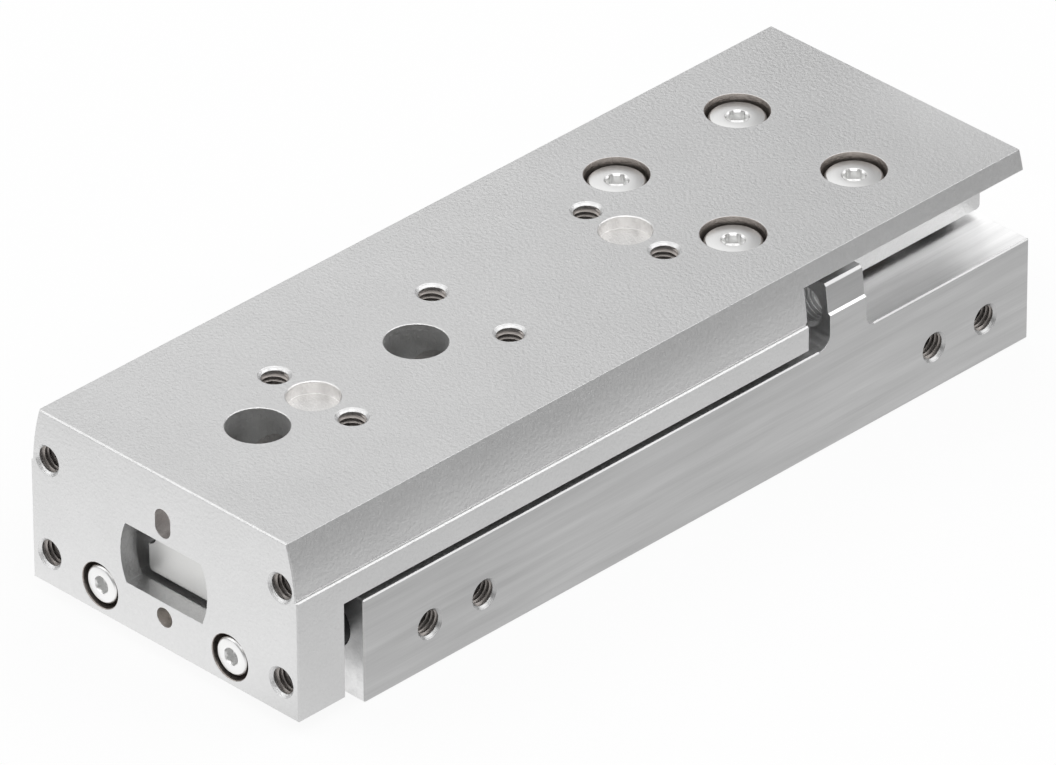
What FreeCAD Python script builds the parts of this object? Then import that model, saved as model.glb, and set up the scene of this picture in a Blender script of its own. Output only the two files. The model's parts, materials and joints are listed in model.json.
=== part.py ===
import FreeCAD, Part
import math
import os

# Pneumatic mini slide, drawn with the table fully retracted. All sizes are in millimetres.
# +X is the way the table drives out, +Y is the side with the two open ports, +Z is up.
# The origin is the middle of the base of the whole object.

V = FreeCAD.Vector

# Edge breaks, cutter overrun and clearances
edge_break = 0.15
overrun = 1.0
press_gap = 0.02
slip_gap = 0.03
running_gap = 0.04
thread_gap = 0.05
screw_hole_gap = 0.1
air_gap = 0.3

# Stack of lengths along one cylinder, from the yoke's front face to the housing's rear face
yoke_thickness = 5.9
yoke_gap = 2.2
cylinder_front_wall = 3.6
bearing_length = 7.0
rod_seal_length = 2.5
front_cushion_length = 6.0
front_cushion_gap = 0.2
stroke = 40.0
piston_length = 8.0
nut_length = 2.0
rear_cushion_gap = 0.3
rear_cushion_length = 1.7
plug_nose_length = 8.0
plug_length = 6.0
plug_recess = 1.4
overall_length = (
    yoke_thickness + yoke_gap + cylinder_front_wall + bearing_length + rod_seal_length
    + front_cushion_length + front_cushion_gap + stroke + piston_length + nut_length
    + rear_cushion_gap + rear_cushion_length + plug_nose_length + plug_length + plug_recess
)
front_x = overall_length / 2
rear_x = -overall_length / 2

# Places along X that follow from the stack
yoke_back_x = front_x - yoke_thickness
housing_front_x = yoke_back_x - yoke_gap
bore_front_x = housing_front_x - cylinder_front_wall
bearing_back_x = bore_front_x - bearing_length
seal_back_x = bearing_back_x - rod_seal_length
front_cushion_back_x = seal_back_x - front_cushion_length
piston_front_x = front_cushion_back_x - front_cushion_gap - stroke
piston_back_x = piston_front_x - piston_length
nut_back_x = piston_back_x - nut_length
rear_cushion_front_x = nut_back_x - rear_cushion_gap
nose_front_x = rear_cushion_front_x - rear_cushion_length
plug_front_x = nose_front_x - plug_nose_length
plug_back_x = plug_front_x - plug_length

# Stack of heights, from the base to the top face
base_wall = 1.6
bore_radius = 3.0
cylinder_roof = 0.8
rail_seat_depth = 1.4
rail_height = 6.5
carriage_roof_gap = 0.4
carriage_roof = 1.9
plate_thickness = 4.2
cylinder_z = base_wall + bore_radius
channel_floor_z = cylinder_z + bore_radius + cylinder_roof
rail_seat_z = channel_floor_z - rail_seat_depth
rail_top_z = rail_seat_z + rail_height
plate_under_z = rail_top_z + carriage_roof_gap + carriage_roof
overall_height = plate_under_z + plate_thickness

# Stack of half widths, from the guide rail outwards
rail_half_width = 4.5
carriage_side_gap = 0.25
carriage_leg = 4.45
carriage_slip = 0.05
table_wall = 1.7
carriage_half_width = rail_half_width + carriage_side_gap + carriage_leg
pocket_half_width = carriage_half_width + carriage_slip
rear_wall_half_width = pocket_half_width + table_wall

# Housing
housing_width = 34.6
channel_side_gap = 0.6
channel_depth = 2.5
cylinder_to_rail_wall = 0.9
channel_half_width = carriage_half_width + channel_side_gap
housing_top_z = channel_floor_z + channel_depth
cylinder_y = rail_half_width + cylinder_to_rail_wall + bore_radius
buffer_seat_radius = 2.5
buffer_seat_depth = 3.0
buffer_beside_cylinder = 4.65
buffer_above_cylinder = 2.2
buffer_y = cylinder_y + buffer_beside_cylinder
buffer_z = cylinder_z + buffer_above_cylinder

# Table: top plate, side skirts and yoke in one piece
table_side_inset = 0.1
table_width = housing_width - 2 * table_side_inset
top_face_inset = 1.25
bevel_foot_inset = 0.23
bevel_height = 5.4
bevel_bulge = 0.17
bead_height = 0.32
bead_groove_depth = 0.12
bead_groove_height = 0.14
skirt_gap = 0.6
rear_edge_thickness = 1.96
rear_wall_corner = 0.4
yoke_bottom_z = 1.6
top_face_half_width = table_width / 2 - top_face_inset
bevel_foot_half_width = table_width / 2 - bevel_foot_inset
bevel_foot_z = overall_height - bevel_height
bead_ledge_z = bevel_foot_z - bead_height
skirt_bottom_z = housing_top_z + skirt_gap
rear_edge_z = overall_height - rear_edge_thickness

# Threads and holes in the table's top face
m3_radius = 1.5
m3_mouth = 0.08
thread_row_first = 18.93
thread_row_pitch = 20.0
thread_half_spacing = 5.0
access_radius = 3.0
access_mouth = 0.06
access_first = 11.93
access_pitch = 20.0
access_count = 2
centring_radius = 2.5
centring_mouth = 0.1
centring_depth = 1.3
row_to_carriage_screw = 5.0

# Yoke: corner threads, window with the rail's pocket behind it, slot and pin hole
yoke_thread_from_side = 2.2
yoke_thread_spacing_z = 10.0
yoke_thread_depth = 5.0
window_below_rail = 0.45
window_under_rail_top = 0.6
window_corner_gap = 0.4
window_side_gap = 1.12
window_web = 2.0
rail_pocket_gap = 0.27
slot_radius = 1.0
slot_height = 3.0
slot_depth = 1.7
pin_hole_radius = 1.0
pin_hole_depth = 3.0
yoke_thread_half_y = table_width / 2 - yoke_thread_from_side
yoke_thread_low_z = overall_height / 2 - yoke_thread_spacing_z / 2
yoke_thread_high_z = overall_height / 2 + yoke_thread_spacing_z / 2
window_bottom_z = rail_seat_z - window_below_rail
window_top_z = rail_top_z - window_under_rail_top
window_corner_y = rail_half_width + window_corner_gap
window_side_y = rail_half_width + window_side_gap

# Stop lugs on the housing, one in each side recess of the table
lug_front_from_rear = 26.7
lug_length = 4.8
lug_side_gap = 0.4
lug_top_gap = 0.74
lug_step = 0.28
lug_step_above_ledge = 0.07
lug_step_drop = 0.17
lug_lean = 0.33
lug_front_fillet = 1.4
lug_rear_fillet = 1.0
lug_top_break = 0.25
skirt_to_lug_gap = 2.75
stop_thread_radius = 2.0
stop_thread_from_side = 3.1
stop_thread_above_housing = 3.1
lug_inner_y = rear_wall_half_width + lug_side_gap
lug_front_x = rear_x + lug_front_from_rear
lug_back_x = lug_front_x - lug_length
lug_top_z = rear_edge_z - lug_top_gap
lug_step_z = bead_ledge_z + lug_step_above_ledge
skirt_back_x = lug_front_x + skirt_to_lug_gap

# Side threads: an air port and a mounting thread at each end, on both sides
side_thread_z = cylinder_z
side_thread_wall = 0.9
front_port_from_seal = 2.1
rear_port_from_plug = 5.3
mount_thread_pitch = 6.9
air_passage_radius = 0.75
port_plug_length = 3.0
side_thread_depth = housing_width / 2 - cylinder_y - bore_radius - side_thread_wall
front_port_x = seal_back_x - front_port_from_seal
rear_port_x = plug_front_x + rear_port_from_plug
front_mount_x = front_port_x + mount_thread_pitch
rear_mount_x = rear_port_x - mount_thread_pitch

# Underside: four mounting threads and two centring holes
base_thread_front_from_yoke = 33.4
base_thread_spacing_x = 40.0
base_thread_wall = 1.1
base_thread_depth = 4.5
base_centring_after_rail_screw = 10.0
base_thread_half_y = cylinder_y + bore_radius + base_thread_wall + m3_radius

# Rods, pistons and what closes the cylinders
rod_radius = 1.5
rod_socket_depth = 0.8
wiper_radius = 2.1
wiper_length = 1.6
cushion_gap = 0.6
rod_seal_lip_width = 0.5
rod_seal_pocket = 0.8
rear_cushion_radius = 2.0
piston_gap = 0.07
piston_seal_groove = 0.83
piston_seal_width = 1.2
piston_seal_from_end = 0.6
magnet_groove = 0.93
magnet_inset = 0.08
magnet_length = 3.0
rod_tail_radius = 1.0
nut_across_flats = 4.0
plug_seal_groove = 0.8
plug_seal_width = 1.4
plug_seal_from_front = 2.2
circlip_groove_depth = 0.3
circlip_thickness = 0.6
circlip_width = 1.0
circlip_opening = 2.2
rod_screw_length = 7.2
rod_screw_recess = 0.15
piston_radius = bore_radius - piston_gap
piston_seal_groove_radius = piston_radius - piston_seal_groove
magnet_groove_radius = piston_radius - magnet_groove
plug_seal_groove_radius = bore_radius - plug_seal_groove
circlip_groove_radius = bore_radius + circlip_groove_depth

# Retract buffers
buffer_nose_radius = 1.7

# Guide rail and its screws
rail_corner = 0.4
rail_top_break = 0.3
rail_front_gap = 0.5
rail_rear_inset = 0.5
rail_screw_end_margin = 4.5
rail_head_recess = 0.5
rail_counterbore_radius = 3.0
rail_thread_bottom_z = 1.5
web_back_x = front_x - window_web
rail_front_x = web_back_x - rail_front_gap
rail_back_x = rear_x + rail_rear_inset

# Carriage, end caps, seals and balls
carriage_centre_from_rear = 21.4
carriage_block_length = 30.0
carriage_floor_gap = 0.5
carriage_corner = 0.4
end_cap_length = 4.2
end_cap_inset = 0.15
end_seal_thickness = 0.8
end_seal_gap = 0.1
ball_radius = 1.0
ball_groove_radius = 1.03
ball_track_out = 0.1
ball_track_below_top = 2.7
ball_return_spacing = 2.6
ball_return_radius = 1.1
ball_pitch = 2.05
cap_screw_from_side = 2.8
cap_screw_below_top = 1.6
cap_screw_radius = 0.8
cap_screw_head_radius = 1.4
cap_screw_head_height = 1.0
cap_screw_grip = 4.0
carriage_bottom_z = channel_floor_z + carriage_floor_gap
ball_track_y = rail_half_width + ball_track_out
ball_track_z = rail_top_z - ball_track_below_top
ball_return_y = ball_track_y + ball_return_spacing
cap_screw_y = carriage_half_width - cap_screw_from_side
cap_screw_z = plate_under_z - cap_screw_below_top

# Carriage screws through the table
carriage_screw_spacing_x = 16.0
carriage_screw_from_side = 1.7
carriage_counterbore_radius = 3.1
carriage_screw_recess = 0.6
carriage_thread_depth = 3.2
carriage_screw_half_y = carriage_half_width - carriage_screw_from_side
carriage_thread_bottom_z = plate_under_z - carriage_thread_depth

# Screw heads
m3_head_radius = 2.75
m3_head_height = 2.0
m3_socket_across_flats = 2.0
m3_socket_depth = 1.1
m2_radius = 1.0
m2_head_radius = 1.9
m2_head_height = 2.0
m2_socket_across_flats = 1.5
m2_socket_depth = 1.0
m2_counterbore_radius = 2.3
small_socket_across_flats = 1.3
screw_head_break = 0.18
screw_tip_break = 0.3

# Places of the carriage along X
carriage_x = rear_x + carriage_centre_from_rear
carriage_front_x = carriage_x + carriage_block_length / 2
carriage_back_x = carriage_x - carriage_block_length / 2


def box(x0, x1, y0, y1, z0, z1):
    """A block between two corners."""
    return Part.makeBox(x1 - x0, y1 - y0, z1 - z0, V(x0, y0, z0))


def bar(x0, x1, y, z, radius):
    """A round bar along X."""
    return Part.makeCylinder(radius, x1 - x0, V(x0, y, z), V(1, 0, 0))


def tube(x0, x1, y, z, outer, inner):
    """A round tube along X."""
    return bar(x0, x1, y, z, outer).cut(bar(x0 - overrun, x1 + overrun, y, z, inner))


def drill(mouth, into, radius, depth, chamfer=0.0):
    """A drill cutter that enters at the mouth point and may break the mouth's edge."""
    start = mouth - into * overrun
    cutter = Part.makeCylinder(radius, depth + overrun, start, into)
    if chamfer > 0:
        cone = Part.makeCone(radius + chamfer + overrun, radius, chamfer + overrun, start, into)
        cutter = cutter.fuse(cone)
    return cutter


def prism_x(edges, x0, x1):
    """A closed outline in the YZ plane, pushed along X from x0 to x1."""
    face = Part.Face(Part.Wire(edges))
    face.translate(V(x0, 0, 0))
    return face.extrude(V(x1 - x0, 0, 0))


def polygon_yz(points):
    """Edges of a closed outline of straight lines in the YZ plane."""
    corners = [V(0, y, z) for y, z in points]
    return [Part.LineSegment(a, b).toShape() for a, b in zip(corners, corners[1:] + corners[:1])]


def chain_yz(steps):
    """Edges of a closed outline: each step is a point, or a pair of arc midpoint and point."""
    ends = [step[-1] for step in steps]
    edges = []
    for index, step in enumerate(steps):
        start = V(0, *ends[index - 1])
        end = V(0, *step[-1])
        if len(step) == 1:
            edges.append(Part.LineSegment(start, end).toShape())
        else:
            edges.append(Part.Arc(start, V(0, *step[0]), end).toShape())
    return edges


def hexagon(across_flats, height):
    """A hexagonal prism that stands on the origin."""
    corner = across_flats / math.sqrt(3)
    points = [V(corner * math.cos(a), corner * math.sin(a), 0)
              for a in [math.radians(60 * i + 30) for i in range(7)]]
    return Part.Face(Part.makePolygon(points)).extrude(V(0, 0, height))


def cap_screw(head_radius, head_height, shank_radius, length, across_flats, socket_depth):
    """A socket screw that points down, with the seat of its head at the origin."""
    head = Part.makeCylinder(head_radius, head_height)
    rim = [e for e in head.Edges if e.BoundBox.ZMin > head_height / 2 and len(e.Vertexes) == 1]
    head = head.makeChamfer(screw_head_break, rim)
    shank = Part.makeCylinder(shank_radius, length, V(0, 0, -length))
    tip = [e for e in shank.Edges if e.BoundBox.ZMax < -length / 2 and len(e.Vertexes) == 1]
    shank = shank.makeChamfer(screw_tip_break, tip)
    socket = hexagon(across_flats, socket_depth + overrun)
    socket.translate(V(0, 0, head_height - socket_depth))
    return head.fuse(shank).cut(socket).removeSplitter()


def placed(shape, point, head_direction):
    """A copy of a shape drawn along +Z, moved to a point and turned to a direction."""
    copy = shape.copy()
    copy.Placement = FreeCAD.Placement(point, FreeCAD.Rotation(V(0, 0, 1), head_direction))
    return copy


def mirrored(shape):
    """The same shape on the other side of the object."""
    return shape.mirror(V(0, 0, 0), V(0, 1, 0))


def both_sides(shape):
    """A shape and its mirror image, as a list."""
    return [shape, mirrored(shape)]


def single(shapes):
    """One solid out of a cut or fused result."""
    return shapes.Solids[0] if len(shapes.Solids) == 1 else shapes


def save(name, shape):
    """Write one node."""
    shape.exportStep("parts/" + name + ".step")
    print(f"{name:24s} {len(shape.Solids)} solid(s), {shape.Volume:9.2f} mm3, valid {shape.isValid()}")


# Rows of holes that repeat along the table and the rail
carriage_screw_front_x = carriage_x + carriage_screw_spacing_x / 2
carriage_screw_back_x = carriage_x - carriage_screw_spacing_x / 2


def thread_rows():
    """X of each row of top threads, as many as fit before the carriage screws."""
    rows = []
    x = front_x - thread_row_first
    while x > carriage_screw_front_x + row_to_carriage_screw:
        rows.append(x)
        x -= thread_row_pitch
    return rows


def rail_screw_places():
    """X of each rail screw, under the access holes and on towards the rear."""
    places = []
    x = front_x - access_first
    while x > rail_back_x + rail_screw_end_margin:
        places.append(x)
        x -= access_pitch
    return places


def bevel_arc_mid(top_y, top_z, foot_y, foot_z):
    """The bulging middle of the table's long convex side bevel."""
    length = math.hypot(top_y - foot_y, top_z - foot_z)
    mid_y = (top_y + foot_y) / 2 + bevel_bulge * (top_z - foot_z) / length
    mid_z = (top_z + foot_z) / 2 + bevel_bulge * (foot_y - top_y) / length
    return mid_y, mid_z


def table_top_outline():
    """Edges of the table's cross section above the ledge, with its long side bevels."""
    top = top_face_half_width
    foot = bevel_foot_half_width
    low = (bead_ledge_z + skirt_bottom_z) / 2
    mid_y, mid_z = bevel_arc_mid(top, overall_height, foot, bevel_foot_z)
    return chain_yz([
        ((top, overall_height),),
        ((mid_y, mid_z), (foot, bevel_foot_z)),
        ((foot, low),),
        ((-foot, low),),
        ((-foot, bevel_foot_z),),
        ((-mid_y, mid_z), (-top, overall_height)),
    ])


def broken_box(x0, x1, half_width, z0, z1):
    """A block across the object with every edge broken."""
    block = box(x0, x1, -half_width, half_width, z0, z1)
    return block.makeChamfer(edge_break, block.Edges)


def bead_groove():
    """The fine groove along the left foot of the bevel."""
    foot = bevel_foot_half_width
    return prism_x(polygon_yz([
        (foot + bead_groove_depth, bead_ledge_z),
        (foot - bead_groove_depth, bead_ledge_z),
        (foot - bead_groove_depth, bead_ledge_z + bead_groove_height),
        (foot + bead_groove_depth, bevel_foot_z + bead_groove_depth),
    ]), rear_x - overrun, front_x + overrun)


def rear_corner_cutter():
    """The rounding of the walls' lower corners at the rear."""
    radius = rear_wall_corner
    corner = box(rear_x - overrun, rear_x + radius, -rear_wall_half_width - overrun,
                 rear_wall_half_width + overrun, skirt_bottom_z - overrun, skirt_bottom_z + radius)
    rounding = Part.makeCylinder(radius, table_width * 2,
                                 V(rear_x + radius, -table_width, skirt_bottom_z + radius),
                                 V(0, 1, 0))
    return corner.cut(rounding)


def table_blank():
    """Plate, skirts and yoke before any hole."""
    plate = prism_x(table_top_outline(), rear_x, front_x)
    ends = [e for e in plate.Edges if e.BoundBox.XMax - e.BoundBox.XMin < edge_break]
    plate = plate.makeChamfer(edge_break, ends)
    skirts = broken_box(rear_x, front_x, table_width / 2, skirt_bottom_z, bead_ledge_z)
    yoke = broken_box(yoke_back_x, front_x, table_width / 2, yoke_bottom_z, bead_ledge_z)
    solid = plate.fuse(skirts).fuse(yoke).removeSplitter()
    pocket = box(rear_x - overrun, yoke_back_x, -pocket_half_width, pocket_half_width,
                 skirt_bottom_z - overrun, plate_under_z)
    recess = box(rear_x - overrun, skirt_back_x, rear_wall_half_width, table_width,
                 skirt_bottom_z - overrun, rear_edge_z)
    for cutter in [pocket, recess, mirrored(recess), rear_corner_cutter()] + both_sides(bead_groove()):
        solid = solid.cut(cutter)
    return solid


def window_cutter():
    """The yoke's window, with bulging sides, and the rail's pocket behind its thin web."""
    mid_z = (window_bottom_z + window_top_z) / 2
    outline = chain_yz([
        ((window_corner_y, window_bottom_z),),
        ((window_side_y, mid_z), (window_corner_y, window_top_z)),
        ((-window_corner_y, window_top_z),),
        ((-window_side_y, mid_z), (-window_corner_y, window_bottom_z)),
    ])
    window = prism_x(outline, web_back_x - overrun, front_x + overrun)
    half = window_side_y + rail_pocket_gap
    pocket = box(yoke_back_x - overrun, web_back_x, -half, half,
                 window_bottom_z - rail_pocket_gap, rail_top_z + air_gap)
    return window.fuse(pocket)


def slot_cutter():
    """The upright locating slot above the window."""
    straight = slot_height / 2 - slot_radius
    start = front_x - slot_depth
    top_z = yoke_thread_high_z + straight
    low_z = yoke_thread_high_z - straight
    upper = bar(start, front_x + overrun, 0, top_z, slot_radius)
    lower = bar(start, front_x + overrun, 0, low_z, slot_radius)
    middle = box(start, front_x + overrun, -slot_radius, slot_radius, low_z, top_z)
    return upper.fuse(lower).fuse(middle)


def rod_seat_cutter():
    """Counterbore, screw hole and rod socket in the yoke, for the left rod."""
    seat_depth = m2_head_height + rod_screw_recess
    centre = V(front_x, cylinder_y, cylinder_z)
    counterbore = drill(centre, V(-1, 0, 0), m2_counterbore_radius, seat_depth, m3_mouth)
    hole = drill(centre, V(-1, 0, 0), m2_radius + thread_gap, yoke_thickness + overrun)
    socket = bar(yoke_back_x - overrun, yoke_back_x + rod_socket_depth, cylinder_y, cylinder_z,
                 rod_radius + slip_gap)
    return counterbore.fuse(hole).fuse(socket)


def table_hole_cutters():
    """Every hole in the table's top face and in the yoke."""
    down = V(0, 0, -1)
    back = V(-1, 0, 0)
    cutters = [window_cutter(), slot_cutter()]
    cutters.append(drill(V(front_x, 0, yoke_thread_low_z), back, pin_hole_radius, pin_hole_depth))
    cutters += both_sides(rod_seat_cutter())
    for z in [yoke_thread_low_z, yoke_thread_high_z]:
        mouth = V(front_x, yoke_thread_half_y, z)
        cutters += both_sides(drill(mouth, back, m3_radius, yoke_thread_depth, m3_mouth))
    for index in range(access_count):
        x = front_x - access_first - index * access_pitch
        cutters.append(drill(V(x, 0, overall_height), down, access_radius,
                             plate_thickness + overrun, access_mouth))
    rows = thread_rows()
    for x in rows:
        mouth = V(x, thread_half_spacing, overall_height)
        cutters += both_sides(drill(mouth, down, m3_radius, plate_thickness + overrun, m3_mouth))
    for x in rows[::2]:
        cutters.append(drill(V(x, 0, overall_height), down, centring_radius,
                             centring_depth, centring_mouth))
    seat_depth = carriage_screw_recess + m3_head_height
    for x in [carriage_screw_front_x, carriage_screw_back_x]:
        mouth = V(x, carriage_screw_half_y, overall_height)
        counterbore = drill(mouth, down, carriage_counterbore_radius, seat_depth, access_mouth)
        hole = drill(mouth, down, m3_radius + screw_hole_gap, plate_thickness + overrun)
        cutters += both_sides(counterbore.fuse(hole))
    return cutters


def make_table():
    """The table with its yoke."""
    solid = table_blank()
    for cutter in table_hole_cutters():
        solid = solid.cut(cutter)
    return single(solid)


def lug():
    """The left stop lug, drawn as its side view and trimmed to the table's bevel."""
    base_z = channel_floor_z
    low = housing_top_z
    front = lug_front_x
    back = lug_back_x
    f = min(lug_front_fillet, lug_length)
    r = min(lug_rear_fillet, lug_length)
    diagonal = 1 - math.sqrt(0.5)
    points = {
        "front foot": V(front + f, 0, low),
        "front mid": V(front + f * diagonal, 0, low + f * diagonal),
        "front wall": V(front, 0, low + f),
        "front top": V(front, 0, lug_top_z),
        "back top": V(back, 0, lug_top_z),
        "back wall": V(back, 0, low + r),
        "back mid": V(back - r * diagonal, 0, low + r * diagonal),
        "back foot": V(back - r, 0, low),
        "back base": V(back - r, 0, base_z),
        "front base": V(front + f, 0, base_z),
    }
    edges = [
        Part.Arc(points["front foot"], points["front mid"], points["front wall"]).toShape(),
        Part.LineSegment(points["front wall"], points["front top"]).toShape(),
        Part.LineSegment(points["front top"], points["back top"]).toShape(),
        Part.LineSegment(points["back top"], points["back wall"]).toShape(),
        Part.Arc(points["back wall"], points["back mid"], points["back foot"]).toShape(),
        Part.LineSegment(points["back foot"], points["back base"]).toShape(),
        Part.LineSegment(points["back base"], points["front base"]).toShape(),
        Part.LineSegment(points["front base"], points["front foot"]).toShape(),
    ]
    side_view = Part.Face(Part.Wire(edges))
    side_view.translate(V(0, lug_inner_y, 0))
    side = housing_width / 2
    upright = side_view.extrude(V(0, side - lug_inner_y, 0))
    shelf_y = side - lug_step
    top_y = shelf_y - lug_lean
    end_view = prism_x(polygon_yz([
        (lug_inner_y, base_z),
        (side, base_z),
        (side, lug_step_z - lug_step_drop),
        (shelf_y, lug_step_z),
        (top_y, lug_top_z - lug_top_break),
        (top_y - lug_top_break, lug_top_z),
        (lug_inner_y, lug_top_z),
    ]), back - f - overrun, front + f + overrun)
    return upright.common(end_view)


def housing_blank():
    """The housing block with its channel, rail seat and stop lugs, before any hole."""
    solid = broken_box(rear_x, housing_front_x, housing_width / 2, 0, housing_top_z)
    channel = box(rear_x - overrun, front_x, -channel_half_width, channel_half_width,
                  channel_floor_z, housing_top_z + overrun)
    seat_half_width = rail_half_width + slip_gap
    seat = box(rear_x - overrun, front_x, -seat_half_width, seat_half_width,
               rail_seat_z, channel_floor_z + overrun)
    solid = solid.cut(channel).cut(seat)
    for piece in both_sides(lug()):
        solid = solid.fuse(piece)
    return solid.removeSplitter()


def cylinder_cutters():
    """The left cylinder: bore, rod hole, wiper seat and circlip groove."""
    bore = bar(rear_x - overrun, bore_front_x, cylinder_y, cylinder_z, bore_radius)
    rod_hole = bar(bore_front_x - overrun, housing_front_x + overrun, cylinder_y, cylinder_z,
                   rod_radius + screw_hole_gap)
    wiper_seat = bar(housing_front_x - wiper_length, housing_front_x + overrun, cylinder_y,
                     cylinder_z, wiper_radius + press_gap)
    groove = bar(plug_back_x - circlip_thickness - press_gap, plug_back_x, cylinder_y, cylinder_z,
                 circlip_groove_radius)
    return [bore, rod_hole, wiper_seat, groove]


def side_thread_cutters():
    """The left side's threads, and the drillings that join both cylinders to the ports."""
    side = housing_width / 2
    inward = V(0, -1, 0)
    cutters = []
    for x in [front_mount_x, front_port_x, rear_port_x, rear_mount_x]:
        mouth = V(x, side, side_thread_z)
        cutters.append(drill(mouth, inward, m3_radius, side_thread_depth, m3_mouth))
    for x in [front_port_x, rear_port_x]:
        mouth = V(x, side - side_thread_depth, side_thread_z)
        cutters.append(drill(mouth, inward, air_passage_radius, side - side_thread_depth))
    return cutters


def housing_hole_cutters():
    """Every hole in the housing, with the seats of the buffers and the rail's threads."""
    up = V(0, 0, 1)
    cutters = []
    for cutter in cylinder_cutters() + side_thread_cutters():
        cutters += both_sides(cutter)
    buffer_mouth = V(housing_front_x, buffer_y, buffer_z)
    cutters += both_sides(drill(buffer_mouth, V(-1, 0, 0), buffer_seat_radius, buffer_seat_depth))
    stop_mouth = V(lug_front_x, housing_width / 2 - stop_thread_from_side,
                   housing_top_z + stop_thread_above_housing)
    cutters += both_sides(drill(stop_mouth, V(-1, 0, 0), stop_thread_radius,
                                lug_length + overrun, m3_mouth))
    for x in rail_screw_places():
        cutters.append(drill(V(x, 0, rail_seat_z), V(0, 0, -1), m3_radius,
                             rail_seat_z - rail_thread_bottom_z))
    thread_x = front_x - base_thread_front_from_yoke
    for x in [thread_x, thread_x - base_thread_spacing_x]:
        mouth = V(x, base_thread_half_y, 0)
        cutters += both_sides(drill(mouth, up, m3_radius, base_thread_depth, m3_mouth))
    for x in rail_screw_places()[::2]:
        mouth = V(x - base_centring_after_rail_screw, 0, 0)
        cutters.append(drill(mouth, up, centring_radius, centring_depth, centring_mouth))
    return cutters


def make_housing():
    """The housing with both cylinders."""
    solid = housing_blank()
    for cutter in housing_hole_cutters():
        solid = solid.cut(cutter)
    return single(solid)


def rail_outline(gap):
    """Edges of the rail's cross section, grown outwards by a gap."""
    half = rail_half_width + gap
    low = rail_seat_z - gap
    top = rail_top_z + gap
    groove = ball_groove_radius - gap
    rise = math.sqrt(groove ** 2 - (ball_track_y - half) ** 2)
    diagonal = rail_corner * (1 - math.sqrt(0.5))
    return chain_yz([
        ((half - rail_corner, low),),
        ((half - diagonal, low + diagonal), (half, low + rail_corner)),
        ((half, ball_track_z - rise),),
        ((ball_track_y - groove, ball_track_z), (half, ball_track_z + rise)),
        ((half, top - rail_top_break),),
        ((half - rail_top_break, top),),
        ((-half + rail_top_break, top),),
        ((-half, top - rail_top_break),),
        ((-half, ball_track_z + rise),),
        ((-ball_track_y + groove, ball_track_z), (-half, ball_track_z - rise)),
        ((-half, low + rail_corner),),
        ((-half + diagonal, low + diagonal), (-half + rail_corner, low)),
    ])


def rail_head_seat_z():
    """Height of the seats under the rail screws' heads."""
    return rail_top_z - rail_head_recess - m3_head_height


def make_rail():
    """The guide rail with its counterbored screw holes."""
    solid = prism_x(rail_outline(0), rail_back_x, rail_front_x)
    for x in rail_screw_places():
        top = V(x, 0, rail_top_z)
        depth = rail_head_recess + m3_head_height
        solid = solid.cut(drill(top, V(0, 0, -1), rail_counterbore_radius, depth, m3_mouth))
        hole_depth = rail_top_z - rail_seat_z + overrun
        solid = solid.cut(drill(top, V(0, 0, -1), m3_radius + screw_hole_gap, hole_depth))
    return single(solid)


def carriage_outline(inset):
    """Edges of the outside of the carriage, made smaller all round by an inset."""
    half = carriage_half_width - inset
    low = carriage_bottom_z + inset
    top = plate_under_z - inset
    c = carriage_corner
    return polygon_yz([
        (-half + c, low), (half - c, low), (half, low + c), (half, top - c), (half - c, top),
        (-half + c, top), (-half, top - c), (-half, low + c),
    ])


def carriage_passage(x0, x1, extra):
    """The way for the rail through the carriage or an end cap."""
    half = rail_half_width + carriage_side_gap + extra
    return box(x0 - overrun, x1 + overrun, -half, half, carriage_bottom_z - overrun,
               rail_top_z + carriage_roof_gap)


def make_carriage_block():
    """The carriage's steel block, with its two ball tracks and return bores."""
    solid = prism_x(carriage_outline(0), carriage_back_x, carriage_front_x)
    cutters = [carriage_passage(carriage_back_x, carriage_front_x, 0)]
    track = bar(carriage_back_x - overrun, carriage_front_x + overrun, ball_track_y, ball_track_z,
                ball_groove_radius)
    ball_return = bar(carriage_back_x - overrun, carriage_front_x + overrun, ball_return_y,
                      ball_track_z, ball_return_radius)
    for end_x, into in [(carriage_front_x, V(-1, 0, 0)), (carriage_back_x, V(1, 0, 0))]:
        mouth = V(end_x, cap_screw_y, cap_screw_z)
        cutters += both_sides(drill(mouth, into, cap_screw_radius, cap_screw_grip + air_gap))
    for x in [carriage_screw_front_x, carriage_screw_back_x]:
        mouth = V(x, carriage_screw_half_y, plate_under_z)
        depth = plate_under_z - carriage_thread_bottom_z
        cutters += both_sides(drill(mouth, V(0, 0, -1), m3_radius, depth))
    cutters += both_sides(track) + both_sides(ball_return)
    for cutter in cutters:
        solid = solid.cut(cutter)
    return single(solid)


def make_end_cap(face_x, outward):
    """The plastic cap that turns the balls round at one end of the carriage."""
    x0, x1 = sorted([face_x, face_x + outward * end_cap_length])
    solid = prism_x(carriage_outline(end_cap_inset), x0, x1)
    turn_radius = (ball_return_y - ball_track_y) / 2
    turn = Part.makeTorus(turn_radius, ball_return_radius,
                          V(face_x, ball_track_y + turn_radius, ball_track_z), V(0, 0, 1))
    screw_hole = bar(x0 - overrun, x1 + overrun, cap_screw_y, cap_screw_z, cap_screw_radius)
    cutters = [carriage_passage(x0, x1, press_gap)] + both_sides(turn) + both_sides(screw_hole)
    for cutter in cutters:
        solid = solid.cut(cutter)
    return single(solid)


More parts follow.
